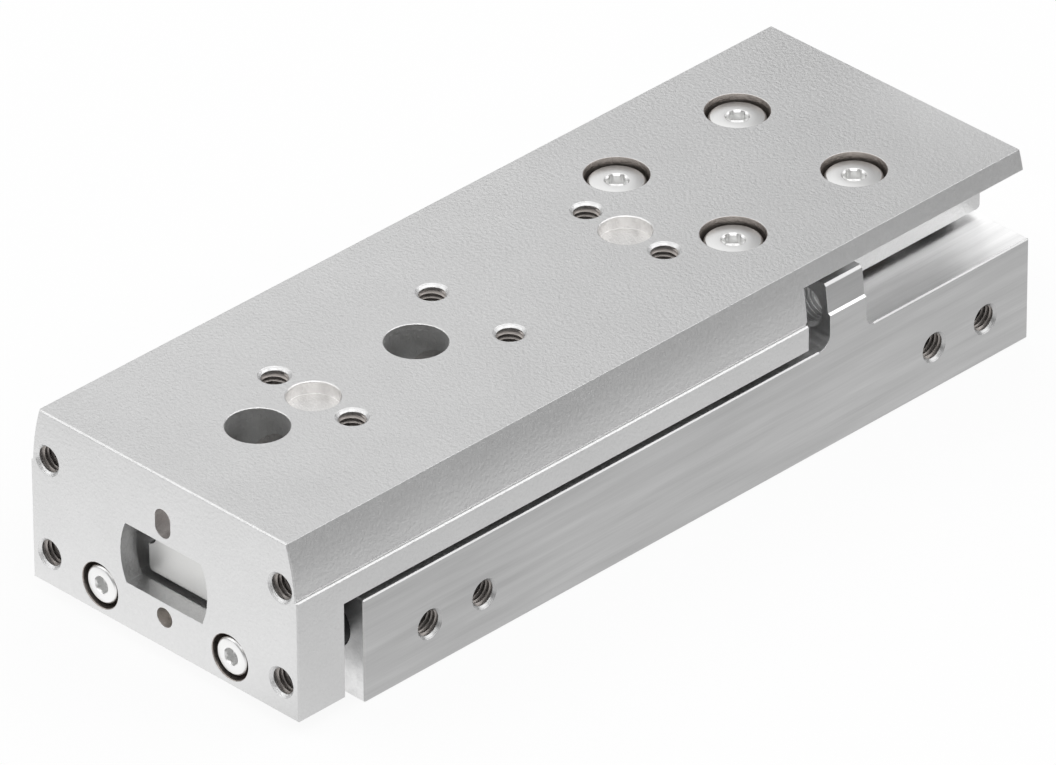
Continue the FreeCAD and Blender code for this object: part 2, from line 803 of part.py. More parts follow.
def make_end_seal(face_x, outward):
    """The wiping seal on the outside of an end cap."""
    cap_face = face_x + outward * end_cap_length
    x0, x1 = sorted([cap_face, cap_face + outward * end_seal_thickness])
    solid = prism_x(carriage_outline(end_cap_inset * 2), x0, x1)
    lips = prism_x(rail_outline(end_seal_gap), x0 - overrun, x1 + overrun)
    half = rail_half_width + end_seal_gap
    foot = box(x0 - overrun, x1 + overrun, -half, half, carriage_bottom_z - overrun,
               ball_track_z - ball_groove_radius)
    screw_hole = bar(x0 - overrun, x1 + overrun, cap_screw_y, cap_screw_z, cap_screw_radius)
    for cutter in [lips, foot] + both_sides(screw_hole):
        solid = solid.cut(cutter)
    return single(solid)


def make_cap_screws():
    """The four small screws that hold the end caps and seals."""
    length = end_seal_thickness + end_cap_length + cap_screw_grip
    screw = cap_screw(cap_screw_head_radius, cap_screw_head_height, cap_screw_radius - thread_gap,
                      length, small_socket_across_flats, cap_screw_head_height / 2)
    reach = end_cap_length + end_seal_thickness
    screws = []
    for x, direction in [(carriage_front_x + reach, V(1, 0, 0)),
                         (carriage_back_x - reach, V(-1, 0, 0))]:
        screws += both_sides(placed(screw, V(x, cap_screw_y, cap_screw_z), direction))
    return Part.makeCompound(screws)


def make_balls():
    """The loaded row, the returning row and the balls in the turns, on both sides."""
    half_count = int((carriage_block_length / 2 - ball_radius / 2) / ball_pitch)
    turn_radius = (ball_return_y - ball_track_y) / 2
    places = []
    for index in range(-half_count, half_count + 1):
        x = carriage_x + index * ball_pitch
        places.append((x, ball_track_y))
        places.append((x, ball_return_y))
    for x in [carriage_front_x + turn_radius, carriage_back_x - turn_radius]:
        places.append((x, ball_track_y + turn_radius))
    balls = []
    for x, y in places:
        balls += both_sides(Part.makeSphere(ball_radius, V(x, y, ball_track_z)))
    return Part.makeCompound(balls)


def make_carriage_screws():
    """The four screws that hold the table on the carriage."""
    seat_z = overall_height - carriage_screw_recess - m3_head_height
    length = seat_z - carriage_thread_bottom_z - air_gap
    screw = cap_screw(m3_head_radius, m3_head_height, m3_radius - thread_gap, length,
                      m3_socket_across_flats, m3_socket_depth)
    screws = []
    for x in [carriage_screw_front_x, carriage_screw_back_x]:
        screws += both_sides(placed(screw, V(x, carriage_screw_half_y, seat_z), V(0, 0, 1)))
    return Part.makeCompound(screws)


def make_rail_screws():
    """The row of screws that hold the rail in its seat."""
    seat_z = rail_head_seat_z()
    length = seat_z - rail_thread_bottom_z - air_gap
    screw = cap_screw(m3_head_radius, m3_head_height, m3_radius - thread_gap, length,
                      m3_socket_across_flats, m3_socket_depth)
    return Part.makeCompound([placed(screw, V(x, 0, seat_z), V(0, 0, 1))
                              for x in rail_screw_places()])


def make_rod_screws():
    """The two screws that hold the piston rods in the yoke."""
    screw = cap_screw(m2_head_radius, m2_head_height, m2_radius - thread_gap, rod_screw_length,
                      m2_socket_across_flats, m2_socket_depth)
    x = front_x - rod_screw_recess - m2_head_height
    return Part.makeCompound(both_sides(placed(screw, V(x, cylinder_y, cylinder_z), V(1, 0, 0))))


def make_rod():
    """The left piston rod: socketed in the yoke, with a thinner tail through the piston."""
    head_x = yoke_back_x + rod_socket_depth - press_gap
    solid = bar(piston_front_x, head_x, cylinder_y, cylinder_z, rod_radius)
    solid = solid.fuse(bar(nut_back_x, piston_front_x, cylinder_y, cylinder_z, rod_tail_radius))
    screw_tip_x = front_x - rod_screw_recess - m2_head_height - rod_screw_length
    solid = solid.cut(bar(screw_tip_x - air_gap, head_x + overrun, cylinder_y, cylinder_z,
                          m2_radius))
    return single(solid)


def make_piston():
    """A piston with grooves for two seals and a magnet."""
    solid = tube(piston_back_x, piston_front_x, cylinder_y, cylinder_z, piston_radius,
                 rod_tail_radius + slip_gap)
    for x0, x1 in piston_seal_spans():
        groove = tube(x0 - press_gap, x1 + press_gap, cylinder_y, cylinder_z,
                      piston_radius + overrun, piston_seal_groove_radius)
        solid = solid.cut(groove)
    middle = (piston_front_x + piston_back_x) / 2
    return single(solid.cut(tube(middle - magnet_length / 2, middle + magnet_length / 2,
                                 cylinder_y, cylinder_z, piston_radius + overrun,
                                 magnet_groove_radius)))


def piston_seal_spans():
    """Ends along X of a piston's two seals."""
    front = piston_front_x - piston_seal_from_end
    back = piston_back_x + piston_seal_from_end
    return [(front - piston_seal_width, front), (back, back + piston_seal_width)]


def make_piston_seals():
    """The two sealing rings of one piston."""
    return Part.makeCompound([
        tube(x0, x1, cylinder_y, cylinder_z, bore_radius - slip_gap,
             piston_seal_groove_radius + press_gap)
        for x0, x1 in piston_seal_spans()
    ])


def make_piston_magnet():
    """The ring magnet between a piston's seals."""
    middle = (piston_front_x + piston_back_x) / 2
    reach = magnet_length / 2 - press_gap
    return tube(middle - reach, middle + reach, cylinder_y, cylinder_z,
                piston_radius - magnet_inset, magnet_groove_radius + press_gap)


def make_piston_nuts():
    """The nuts that hold the pistons on the rods' tails."""
    nut = hexagon(nut_across_flats, nut_length)
    nut = nut.cut(Part.makeCylinder(rod_tail_radius + slip_gap, nut_length))
    start = V(nut_back_x, cylinder_y, cylinder_z)
    return Part.makeCompound(both_sides(placed(nut, start, V(1, 0, 0))))


def make_rod_bearing():
    """The plain bush that carries a rod."""
    return tube(bearing_back_x + press_gap, bore_front_x - press_gap, cylinder_y, cylinder_z,
                bore_radius - press_gap, rod_radius + running_gap)


def make_rod_seal():
    """A lip seal: a ring with a shallow pocket on its pressure side."""
    solid = tube(seal_back_x, bearing_back_x - press_gap, cylinder_y, cylinder_z,
                 bore_radius - press_gap, rod_radius + running_gap)
    lip = tube(seal_back_x - overrun, seal_back_x + rod_seal_pocket, cylinder_y, cylinder_z,
               bore_radius - rod_seal_lip_width, rod_radius + rod_seal_lip_width)
    return solid.cut(lip)


def make_rod_wiper():
    """The dirt wiper in the housing's front face."""
    return tube(housing_front_x - wiper_length + press_gap, housing_front_x - press_gap,
                cylinder_y, cylinder_z, wiper_radius, rod_radius + running_gap)


def make_front_cushion():
    """The elastic ring that the piston meets when the table is out."""
    return tube(front_cushion_back_x, seal_back_x - press_gap, cylinder_y, cylinder_z,
                bore_radius - cushion_gap, rod_radius + slip_gap + thread_gap)


def make_rear_cushion():
    """The elastic pad that the rod's tail meets when the table is in."""
    return bar(nose_front_x + press_gap, rear_cushion_front_x, cylinder_y, cylinder_z,
               rear_cushion_radius)


def plug_seal_span():
    """Ends along X of the cylinder plug's seal."""
    front = plug_front_x - plug_seal_from_front
    return front - plug_seal_width, front


def make_cylinder_plug():
    """The plug that closes a cylinder at the rear, with a nose towards the piston."""
    body = bar(plug_back_x + press_gap, plug_front_x, cylinder_y, cylinder_z,
               bore_radius - slip_gap)
    nose = bar(plug_front_x, nose_front_x, cylinder_y, cylinder_z, rear_cushion_radius)
    x0, x1 = plug_seal_span()
    groove = tube(x0 - press_gap, x1 + press_gap, cylinder_y, cylinder_z, bore_radius + overrun,
                  plug_seal_groove_radius)
    return single(body.fuse(nose).cut(groove).removeSplitter())


def make_plug_seal():
    """An O-ring, squeezed to the depth of its groove."""
    x0, x1 = plug_seal_span()
    section = (bore_radius - press_gap - plug_seal_groove_radius) / 2
    middle_radius = plug_seal_groove_radius + section
    ring = Part.makeTorus(middle_radius, section - press_gap / 2,
                          V((x0 + x1) / 2, cylinder_y, cylinder_z), V(1, 0, 0))
    return ring


def make_plug_circlip():
    """The open spring ring that holds a cylinder plug."""
    x1 = plug_back_x - press_gap
    ring = tube(x1 - circlip_thickness + press_gap, x1, cylinder_y, cylinder_z,
                circlip_groove_radius - slip_gap, circlip_groove_radius - circlip_width)
    half = circlip_opening / 2
    gap = box(x1 - circlip_thickness - overrun, x1 + overrun, cylinder_y - half,
              cylinder_y + half, cylinder_z, cylinder_z + circlip_groove_radius + overrun)
    return single(ring.cut(gap))


def make_retract_buffer():
    """A stepped rubber plug in the housing's front face, whose nose meets the yoke."""
    seat = bar(housing_front_x - buffer_seat_depth, housing_front_x - press_gap, buffer_y,
               buffer_z, buffer_seat_radius - slip_gap)
    nose = bar(housing_front_x - overrun, yoke_back_x - air_gap, buffer_y, buffer_z,
               buffer_nose_radius)
    return single(seat.fuse(nose).removeSplitter())


def make_port_plugs():
    """Set screws that close the two ports on the far side."""
    plug = Part.makeCylinder(m3_radius - thread_gap, port_plug_length, V(0, 0, -port_plug_length))
    socket = hexagon(m2_socket_across_flats, m2_socket_depth + overrun)
    socket.translate(V(0, 0, -m2_socket_depth))
    plug = plug.cut(socket)
    inset = side_thread_depth - port_plug_length
    y = -housing_width / 2 + inset
    return Part.makeCompound([placed(plug, V(x, y, side_thread_z), V(0, -1, 0))
                              for x in [front_port_x, rear_port_x]])


def main():
    os.makedirs("parts", exist_ok=True)
    save("slide_table", make_table())
    save("housing", make_housing())
    save("guide_rail", make_rail())
    save("rail_screws", make_rail_screws())
    save("carriage_block", make_carriage_block())
    save("carriage_balls", make_balls())
    save("end_cap_screws", make_cap_screws())
    save("carriage_screws", make_carriage_screws())
    save("rod_screws", make_rod_screws())
    save("piston_nuts", make_piston_nuts())
    save("port_plugs", make_port_plugs())
    for end, face_x, outward in [("front", carriage_front_x, 1), ("rear", carriage_back_x, -1)]:
        save("end_cap_" + end, make_end_cap(face_x, outward))
        save("end_seal_" + end, make_end_seal(face_x, outward))
    paired = {
        "piston_rod": make_rod(),
        "piston": make_piston(),
        "piston_seals": make_piston_seals(),
        "piston_magnet": make_piston_magnet(),
        "rod_bearing": make_rod_bearing(),
        "rod_seal": make_rod_seal(),
        "rod_wiper": make_rod_wiper(),
        "front_cushion": make_front_cushion(),
        "rear_cushion": make_rear_cushion(),
        "cylinder_plug": make_cylinder_plug(),
        "plug_seal": make_plug_seal(),
        "plug_circlip": make_plug_circlip(),
        "retract_buffer": make_retract_buffer(),
    }
    for name, shape in paired.items():
        save(name + "_left", shape)
        save(name + "_right", mirrored(shape))


main()
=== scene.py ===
# %% [markdown]
# A pneumatic mini slide, dressed for its picture.
#
# The slide is a machine part: a milled aluminium table with a front yoke, carried by a ball guide on a
# brushed aluminium housing. Its pieces come in as a fixed frame, at their real size, with the table
# pulled in. This lesson gives every piece its finish and adds what a machinist would see at once:
# cut threads, knurled screw heads, spring rings with ears, and rubber buffers.

# %% Load the frame
import json
import math

import bmesh
import bpy
from mathutils import Matrix, Vector


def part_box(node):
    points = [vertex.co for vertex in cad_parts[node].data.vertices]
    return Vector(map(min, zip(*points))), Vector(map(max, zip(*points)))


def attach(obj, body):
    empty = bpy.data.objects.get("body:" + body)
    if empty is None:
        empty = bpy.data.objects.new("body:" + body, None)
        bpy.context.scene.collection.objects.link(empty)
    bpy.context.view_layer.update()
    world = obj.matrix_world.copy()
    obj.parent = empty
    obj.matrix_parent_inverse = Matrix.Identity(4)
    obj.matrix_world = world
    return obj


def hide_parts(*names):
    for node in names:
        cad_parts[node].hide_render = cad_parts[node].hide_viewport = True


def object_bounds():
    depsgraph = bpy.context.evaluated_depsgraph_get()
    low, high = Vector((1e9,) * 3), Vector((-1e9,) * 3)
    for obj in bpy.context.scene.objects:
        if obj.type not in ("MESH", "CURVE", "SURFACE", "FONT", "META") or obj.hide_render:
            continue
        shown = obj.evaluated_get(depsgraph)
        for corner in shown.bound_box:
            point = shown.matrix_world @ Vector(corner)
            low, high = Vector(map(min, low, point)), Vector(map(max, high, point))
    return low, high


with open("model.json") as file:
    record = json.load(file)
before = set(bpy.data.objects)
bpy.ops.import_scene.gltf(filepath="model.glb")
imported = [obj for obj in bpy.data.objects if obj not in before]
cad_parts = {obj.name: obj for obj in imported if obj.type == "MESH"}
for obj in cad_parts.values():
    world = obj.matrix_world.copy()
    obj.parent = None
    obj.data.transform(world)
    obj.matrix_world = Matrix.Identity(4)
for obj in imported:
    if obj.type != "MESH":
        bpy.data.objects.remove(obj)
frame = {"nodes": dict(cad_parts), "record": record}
cad_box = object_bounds()
nodes = frame["nodes"]
mounts = {mount["name"]: mount for mount in frame["record"]["mounts"]}
MM = 0.001
print("nodes:", len(nodes), "mounts:", len(mounts))

# %% [markdown]
# A few places are needed more than once. They are read from the frame, so they stay right if the
# slide is built in another size: the screw rows from the boxes of the screws, the holes from the
# record's mounts, and the two cylinder axes from the box of a piston rod.

# %% Places, in millimetres
def middle_of(node):
    """The middle of a node's box, in millimetres."""
    low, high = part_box(node)
    return (low + high) / 2 / MM


def pair_along_x(first, second):
    """The middle of two mounts along X and half of the distance between them, in millimetres."""
    ends = [mounts[name]["pos_m"][0] / MM for name in (first, second)]
    return sum(ends) / 2, abs(ends[0] - ends[1]) / 2


cylinder_y = middle_of("piston_rod_left").y
cylinder_z = middle_of("piston_rod_left").z
carriage_screw_x = middle_of("carriage_screws").x
access_x, access_reach = pair_along_x("table_access_1", "table_access_2")
centring_x, centring_reach = pair_along_x("table_centring_1", "table_centring_2")
slot_z = mounts["yoke_pin_slot"]["pos_m"][2] / MM
pin_z = mounts["yoke_pin_hole"]["pos_m"][2] / MM
print("cylinder axes at y", round(cylinder_y, 2), "z", round(cylinder_z, 2))

# %% [markdown]
# The camera is the first thing to settle, because every later choice is judged through it. The
# picture was taken from far away with a long lens, so edges that are parallel on the slide stay
# almost parallel on the picture. A camera is placed best by where it looks, how far away it stands
# and two angles: these are easier to read and to correct than a rotation in three numbers.

# %% Camera
picture_width = 1056
sensor_width = 36.0
focal_length_pixels = 13616.35
camera_azimuth = math.radians(45.023)
camera_elevation = math.radians(32.135)
camera_roll = math.radians(-0.268)
camera_distance = 1.24656
camera_aim = Vector((1.02, -0.17, 9.05)) * MM

towards_camera = Vector((
    math.cos(camera_azimuth) * math.cos(camera_elevation),
    math.sin(camera_azimuth) * math.cos(camera_elevation),
    math.sin(camera_elevation),
))
camera_data = bpy.data.cameras.new("camera")
camera_data.sensor_width = sensor_width
camera_data.lens = focal_length_pixels * sensor_width / picture_width
camera_data.clip_start = 0.05
camera_data.clip_end = 20.0
camera = bpy.data.objects.new("camera", camera_data)
bpy.context.scene.collection.objects.link(camera)
camera_turn = towards_camera.to_track_quat("Z", "Y").to_matrix() @ Matrix.Rotation(camera_roll, 3, "Z")
camera_place = camera_aim + towards_camera * camera_distance
camera.matrix_world = Matrix.Translation(camera_place) @ camera_turn.to_4x4()
bpy.context.scene.camera = camera
print("lens:", round(camera_data.lens, 1), "mm")

# %% [markdown]
# Materials are built from nodes, and a small helper keeps each node on one line: its kind, its
# options, the values of its inputs and what is linked to them. The Mix node has inputs of every kind
# under the same names, so the ones for colours are reached by number. Groups get their named inputs
# and outputs through the tree's interface, which is how Blender 4 makes the sockets of a group.

# %% Helpers for shader nodes
def add_node(tree, kind, values=None, links=None, **options):
    """Add a shader node, set its options and input values, and link its inputs."""
    made = tree.nodes.new("ShaderNode" + kind)
    for option, value in options.items():
        setattr(made, option, value)
    for socket, value in (values or {}).items():
        made.inputs[socket].default_value = value
    for socket, source in (links or {}).items():
        tree.links.new(source, made.inputs[socket])
    return made


def calculate(tree, operation, first, second, clamp=False):
    """Add a Math node. Each operand is a number or another node's output."""
    made = add_node(tree, "Math", operation=operation, use_clamp=clamp)
    for index, operand in enumerate((first, second)):
        if isinstance(operand, (int, float)):
            made.inputs[index].default_value = operand
        else:
            tree.links.new(operand, made.inputs[index])
    return made.outputs[0]


def mix_colors(tree, share, first, second):
    """Mix two colours by a mask. Each is a red, green and blue value or another node's output."""
    made = add_node(tree, "Mix", data_type="RGBA", links={0: share})
    for socket, color in ((6, first), (7, second)):
        if isinstance(color, tuple):
            made.inputs[socket].default_value = (*color, 1.0)
        else:
            tree.links.new(color, made.inputs[socket])
    return made.outputs[2]


def start_group(name, inputs, outputs):
    """Make an empty node group and return it with its input and output nodes."""
    tree = bpy.data.node_groups.new(name, "ShaderNodeTree")
    for socket, kind, value in inputs:
        made = tree.interface.new_socket(socket, in_out="INPUT", socket_type=kind)
        made.default_value = value
    for socket, kind in outputs:
        tree.interface.new_socket(socket, in_out="OUTPUT", socket_type=kind)
    return tree, tree.nodes.new("NodeGroupInput"), tree.nodes.new("NodeGroupOutput")


def place_group(tree, group, values=None, links=None):
    """Put a node group into a material."""
    made = tree.nodes.new("ShaderNodeGroup")
    made.node_tree = group
    for socket, value in (values or {}).items():
        made.inputs[socket].default_value = value
    for socket, source in (links or {}).items():
        tree.links.new(source, made.inputs[socket])
    return made


# %% [markdown]
# A milled edge is never perfectly sharp: it is broken by a tenth of a millimetre, and that little
# facet catches the light as a bright line. The Bevel node gives the normal that such a rounded edge
# would have. Where it differs from the plain normal there is an edge, and that difference makes a
# mask that brightens the metal's colour: a painted highlight along every edge, besides the light that
# the rounded normal catches. The group hands out both.

# %% Node group: broken edges, with a painted highlight
edge_group, group_in, group_out = start_group(
    "broken_edges_and_painted_highlight",
    [("Width", "NodeSocketFloat", 0.1 * MM), ("Strength", "NodeSocketFloat", 3.0)],
    [("Mask", "NodeSocketFloat"), ("Normal", "NodeSocketVector")],
)
rounded = add_node(edge_group, "Bevel", samples=8, links={"Radius": group_in.outputs["Width"]})
plain = add_node(edge_group, "NewGeometry")
alike = add_node(edge_group, "VectorMath", operation="DOT_PRODUCT",
                 links={0: rounded.outputs["Normal"], 1: plain.outputs["Normal"]})
bend = calculate(edge_group, "SUBTRACT", 1.0, alike.outputs["Value"])
mask = calculate(edge_group, "MULTIPLY", bend, group_in.outputs["Strength"], clamp=True)
edge_group.links.new(mask, group_out.inputs["Mask"])
edge_group.links.new(rounded.outputs["Normal"], group_out.inputs["Normal"])
print("group:", edge_group.name)

# %% [markdown]
# The table's surface is blasted: thousands of shallow dents, each a few tenths of a millimetre wide.
# Two noises of different size, mixed, look more natural than one. The group gives a height for a
# Bump node, and a slower cloudy tone that keeps large faces from looking printed.

# %% Node group: blasted grain
fine_ratio = 2.7
clouds_per_mm = 0.12
grain_group, group_in, group_out = start_group(
    "blasted_grain",
    [("Dents per mm", "NodeSocketFloat", 2.6), ("Fine share", "NodeSocketFloat", 0.35)],
    [("Height", "NodeSocketFloat"), ("Tone", "NodeSocketFloat")],
)
place = add_node(grain_group, "TexCoord").outputs["Object"]
per_metre = calculate(grain_group, "MULTIPLY", group_in.outputs["Dents per mm"], 1 / MM)
coarse = add_node(grain_group, "TexNoise", values={"Detail": 1.5, "Roughness": 0.5},
                  links={"Vector": place, "Scale": per_metre})
finer = calculate(grain_group, "MULTIPLY", per_metre, fine_ratio)
fine = add_node(grain_group, "TexNoise", values={"Detail": 2.0, "Roughness": 0.6},
                links={"Vector": place, "Scale": finer})
mixed = add_node(grain_group, "Mix", data_type="FLOAT",
                 links={"Factor": group_in.outputs["Fine share"], "A": coarse.outputs["Fac"],
                        "B": fine.outputs["Fac"]})
cloud = add_node(grain_group, "TexNoise", links={"Vector": place},
                 values={"Scale": clouds_per_mm / MM, "Detail": 3.0, "Roughness": 0.6})
grain_group.links.new(mixed.outputs["Result"], group_out.inputs["Height"])
grain_group.links.new(cloud.outputs["Fac"], group_out.inputs["Tone"])
print("group:", grain_group.name)

# %% [markdown]
# The housing is drawn through an abrasive belt, which leaves streaks along its length. A noise that
# is squeezed hard across the streaks and hardly at all along them gives just that. The streaks run
# along X, so only the Y and Z coordinates are multiplied by a large number. A second noise, stretched
# further, makes bands of light and dark metal that are several streaks wide.

# %% Node group: brushed streaks
band_stretch = (0.6, 0.18, 0.18)
streak_group, group_in, group_out = start_group(
    "brushed_streaks",
    [("Lines per mm", "NodeSocketFloat", 6.0), ("Length in mm", "NodeSocketFloat", 9.0)],
    [("Line", "NodeSocketFloat"), ("Band", "NodeSocketFloat")],
)
place = add_node(streak_group, "TexCoord").outputs["Object"]
apart = add_node(streak_group, "SeparateXYZ", links={"Vector": place})
along = calculate(streak_group, "DIVIDE", 1 / MM, group_in.outputs["Length in mm"])
across = calculate(streak_group, "MULTIPLY", group_in.outputs["Lines per mm"], 1 / MM)
squeezed = add_node(streak_group, "CombineXYZ", links={
    "X": calculate(streak_group, "MULTIPLY", apart.outputs["X"], along),
    "Y": calculate(streak_group, "MULTIPLY", apart.outputs["Y"], across),
    "Z": calculate(streak_group, "MULTIPLY", apart.outputs["Z"], across),
})
line = add_node(streak_group, "TexNoise", values={"Scale": 1.0, "Detail": 3.0, "Roughness": 0.65},
                links={"Vector": squeezed.outputs["Vector"]})
wider = add_node(streak_group, "VectorMath", operation="MULTIPLY", values={1: band_stretch},
                 links={0: squeezed.outputs["Vector"]})
band = add_node(streak_group, "TexNoise", values={"Scale": 1.0, "Detail": 2.0, "Roughness": 0.5},
                links={"Vector": wider.outputs["Vector"]})
streak_group.links.new(line.outputs["Fac"], group_out.inputs["Line"])
streak_group.links.new(band.outputs["Fac"], group_out.inputs["Band"])
print("group:", streak_group.name)

# %% [markdown]
# A turned part carries fine rings round its own axis. The group takes a place measured from that
# axis, in millimetres, and makes a wave of its distance. The added screws store the place in a UV
# map; the plugs and pistons work it out from their coordinates, because they all lie on the two
# cylinder axes: the absolute value of Y folds the right cylinder onto the left one.

# %% Node group: turned rings
ring_group, group_in, group_out = start_group(
    "turned_rings",
    [("Place", "NodeSocketVector", (0.0, 0.0, 0.0)), ("Rings per mm", "NodeSocketFloat", 7.0)],
    [("Height", "NodeSocketFloat")],
)
radius = add_node(ring_group, "VectorMath", operation="LENGTH", links={0: group_in.outputs["Place"]})
turns = calculate(ring_group, "MULTIPLY", radius.outputs["Value"], group_in.outputs["Rings per mm"])
uneven = add_node(ring_group, "TexNoise", noise_dimensions="1D", values={"Scale": 1.7, "Detail": 2.0},
                  links={"W": turns})
ring_group.links.new(uneven.outputs["Fac"], group_out.inputs["Height"])
print("group:", ring_group.name)

# %% [markdown]
# Inside a hole the metal gets a colour of its own: the wall of a counterbore is painted dark, as
# painted shade, and the floor of a centring recess is painted almost white, as painted light. This
# group masks all the equal holes of a pattern at once. It folds the coordinates about the pattern's
# middle, so that four holes become one, and compares the distance from that hole's axis with its
# radius, just below the mouth and deeper.

# %% Node group: hole mask
below_mouth = 0.02 * MM
hole_group, group_in, group_out = start_group(
    "hole_mask",
    [("Middle", "NodeSocketVector", (0.0, 0.0, 0.0)),
     ("Half spacing", "NodeSocketVector", (0.0, 0.0, 0.0)),
     ("Axis", "NodeSocketVector", (0.0, 0.0, 1.0)), ("Radius", "NodeSocketFloat", 1.0 * MM)],
    [("Mask", "NodeSocketFloat")],
)
place = add_node(hole_group, "TexCoord").outputs["Object"]
from_middle = add_node(hole_group, "VectorMath", operation="SUBTRACT",
                       links={0: place, 1: group_in.outputs["Middle"]}).outputs["Vector"]
height = add_node(hole_group, "VectorMath", operation="DOT_PRODUCT",
                  links={0: from_middle, 1: group_in.outputs["Axis"]}).outputs["Value"]
upright = add_node(hole_group, "VectorMath", operation="SCALE",
                   links={0: group_in.outputs["Axis"], "Scale": height}).outputs["Vector"]
level = add_node(hole_group, "VectorMath", operation="SUBTRACT", links={0: from_middle, 1: upright})
one_quarter = add_node(hole_group, "VectorMath", operation="ABSOLUTE", links={0: level.outputs["Vector"]})
off_axis = add_node(hole_group, "VectorMath", operation="DISTANCE",
                    links={0: one_quarter.outputs["Vector"], 1: group_in.outputs["Half spacing"]})
inside = calculate(hole_group, "LESS_THAN", off_axis.outputs["Value"], group_in.outputs["Radius"])
below = calculate(hole_group, "LESS_THAN", height, -below_mouth)
hole_group.links.new(calculate(hole_group, "MULTIPLY", inside, below), group_out.inputs["Mask"])
print("group:", hole_group.name)

# %% [markdown]
# Every metal on the slide starts from one of three surfaces: blasted, brushed or turned. Each gives a
# height, which a Bump node will read, and a slow tone. The rings of a turned surface need the place
# from their axis: a screw carries it in its UV map, and a plug or a piston works it out.

# %% Three kinds of surface
def place_on_lathe(tree, axis_y, axis_z):
    """The place round the nearer cylinder axis, in millimetres, on both sides of the slide."""
    apart = add_node(tree, "SeparateXYZ", links={"Vector": add_node(tree, "TexCoord").outputs["Object"]})
    side = calculate(tree, "SUBTRACT", calculate(tree, "ABSOLUTE", apart.outputs["Y"], 0.0), axis_y)
    up = calculate(tree, "SUBTRACT", apart.outputs["Z"], axis_z)
    return add_node(tree, "CombineXYZ", links={
        "X": calculate(tree, "DIVIDE", side, MM),
        "Y": calculate(tree, "DIVIDE", up, MM),
    }).outputs["Vector"]


def surface(tree, pattern, axis, sizes):
    """The height and the tone of a metal with grain, streaks or rings."""
    if pattern == "streaks":
        streaks = place_group(tree, streak_group, sizes)
        return streaks.outputs["Line"], streaks.outputs["Band"]
    grain = place_group(tree, grain_group, sizes if pattern == "grain" else {})
    height = grain.outputs["Height"]
    if pattern == "rings":
        if axis:
            lathe = place_on_lathe(tree, *axis)
        else:
            lathe = add_node(tree, "UVMap", uv_map="lathe").outputs["UV"]
        height = place_group(tree, ring_group, sizes, {"Place": lathe}).outputs["Height"]
    return height, grain.outputs["Tone"]


# %% [markdown]
# The colour of a metal can change from face to face. On the housing, the faces that don't look along
# Y get a brighter colour: painted light, chosen by the direction of the faces, which Texture Coordinate
# gives as the normal in the piece's own axes. The holes come on top, by their masks.

# %% Painted light by face, and colour by hole
turned_away = 0.5
facing_sideways = 0.7


def paint(tree, color, painted_lit_faces_color, holes):
    """The plain colour, with painted light on the faces that don't look along Y and the colours inside
    holes mixed in.
    """
    painted = add_node(tree, "RGB").outputs["Color"]
    painted.default_value = (*color, 1.0)
    # Painted light: the faces that don't look along Y get the brighter colour.
    if painted_lit_faces_color:
        normal = add_node(tree, "TexCoord").outputs["Normal"]
        apart = add_node(tree, "SeparateXYZ", links={"Vector": normal})
        along_y = calculate(tree, "ABSOLUTE", apart.outputs["Y"], 0.0)
        sideways = add_node(tree, "MapRange", links={"Value": along_y},
                            values={"From Min": turned_away, "From Max": facing_sideways})
        painted = mix_colors(tree, sideways.outputs["Result"], painted_lit_faces_color, painted)
    for values, hole_color in holes:
        in_hole = place_group(tree, hole_group, values).outputs["Mask"]
        painted = mix_colors(tree, in_hole, painted, hole_color)
    return painted


# %% [markdown]
# The recipe is the same for every metal, with other numbers: the colour, which the slow tone shifts a
# little and which carries a painted highlight along the edges, the height for the bump, and a roughness
# that follows the same pattern. The Principled BSDF and its plain values stay in the material itself.
# Steel and aluminium are metals, so Metallic is 1. Bronze that is full of oil is a little less of a metal.

# %% The recipe for a metal
def new_material(name):
    """An empty material with a Principled BSDF, returned with its tree and that shader."""
    material = bpy.data.materials.new(name)
    material.use_nodes = True
    return material, material.node_tree, material.node_tree.nodes["Principled BSDF"]


def swing(tree, value, reach):
    """A value between 0 and 1, moved to swing about 0 by a reach to both sides."""
    return calculate(tree, "MULTIPLY", calculate(tree, "SUBTRACT", value, 0.5), reach * 2)


def metal(name, color, roughness, metallic=1.0, pattern="grain", tone_swing=0.05, pattern_swing=0.03,
          bump=0.2, bump_depth=0.01, edge_width=0.08, edge_highlight_gain=0.5, roughness_swing=0.06,
          axis=None, holes=(), painted_lit_faces_color=None, **sizes):
    """A metal whose surface is blasted, brushed or turned. Depth and width are in millimetres.

    Turned rings run round an axis (y, z), or by default round the piece's own "lathe" UV map.
    Holes are pairs of the hole mask's values and a colour. The colour for the faces that don't look
    along Y is painted light, brighter than the plain colour.
    """
    material, tree, shader = new_material(name)
    height, tone = surface(tree, pattern, axis, sizes)
    shift = calculate(tree, "ADD", swing(tree, tone, tone_swing), swing(tree, height, pattern_swing))
    edges = place_group(tree, edge_group, {"Width": edge_width * MM})
    # The edge mask paints a highlight into the colour along every edge.
    painted_edge_highlight = calculate(tree, "MULTIPLY", edges.outputs["Mask"], edge_highlight_gain)
    factor = calculate(tree, "ADD", calculate(tree, "ADD", shift, 1.0), painted_edge_highlight)
    painted = paint(tree, color, painted_lit_faces_color, holes)
    tinted = add_node(tree, "VectorMath", operation="SCALE", links={0: painted, "Scale": factor})
    rough = calculate(tree, "ADD", swing(tree, height, roughness_swing), roughness)
    dents = add_node(tree, "Bump", values={"Strength": bump, "Distance": bump_depth * MM},
                     links={"Height": height, "Normal": edges.outputs["Normal"]})
    shader.inputs["Metallic"].default_value = metallic
    tree.links.new(tinted.outputs["Vector"], shader.inputs["Base Color"])
    tree.links.new(rough, shader.inputs["Roughness"])
    tree.links.new(dents.outputs["Normal"], shader.inputs["Normal"])
    return material
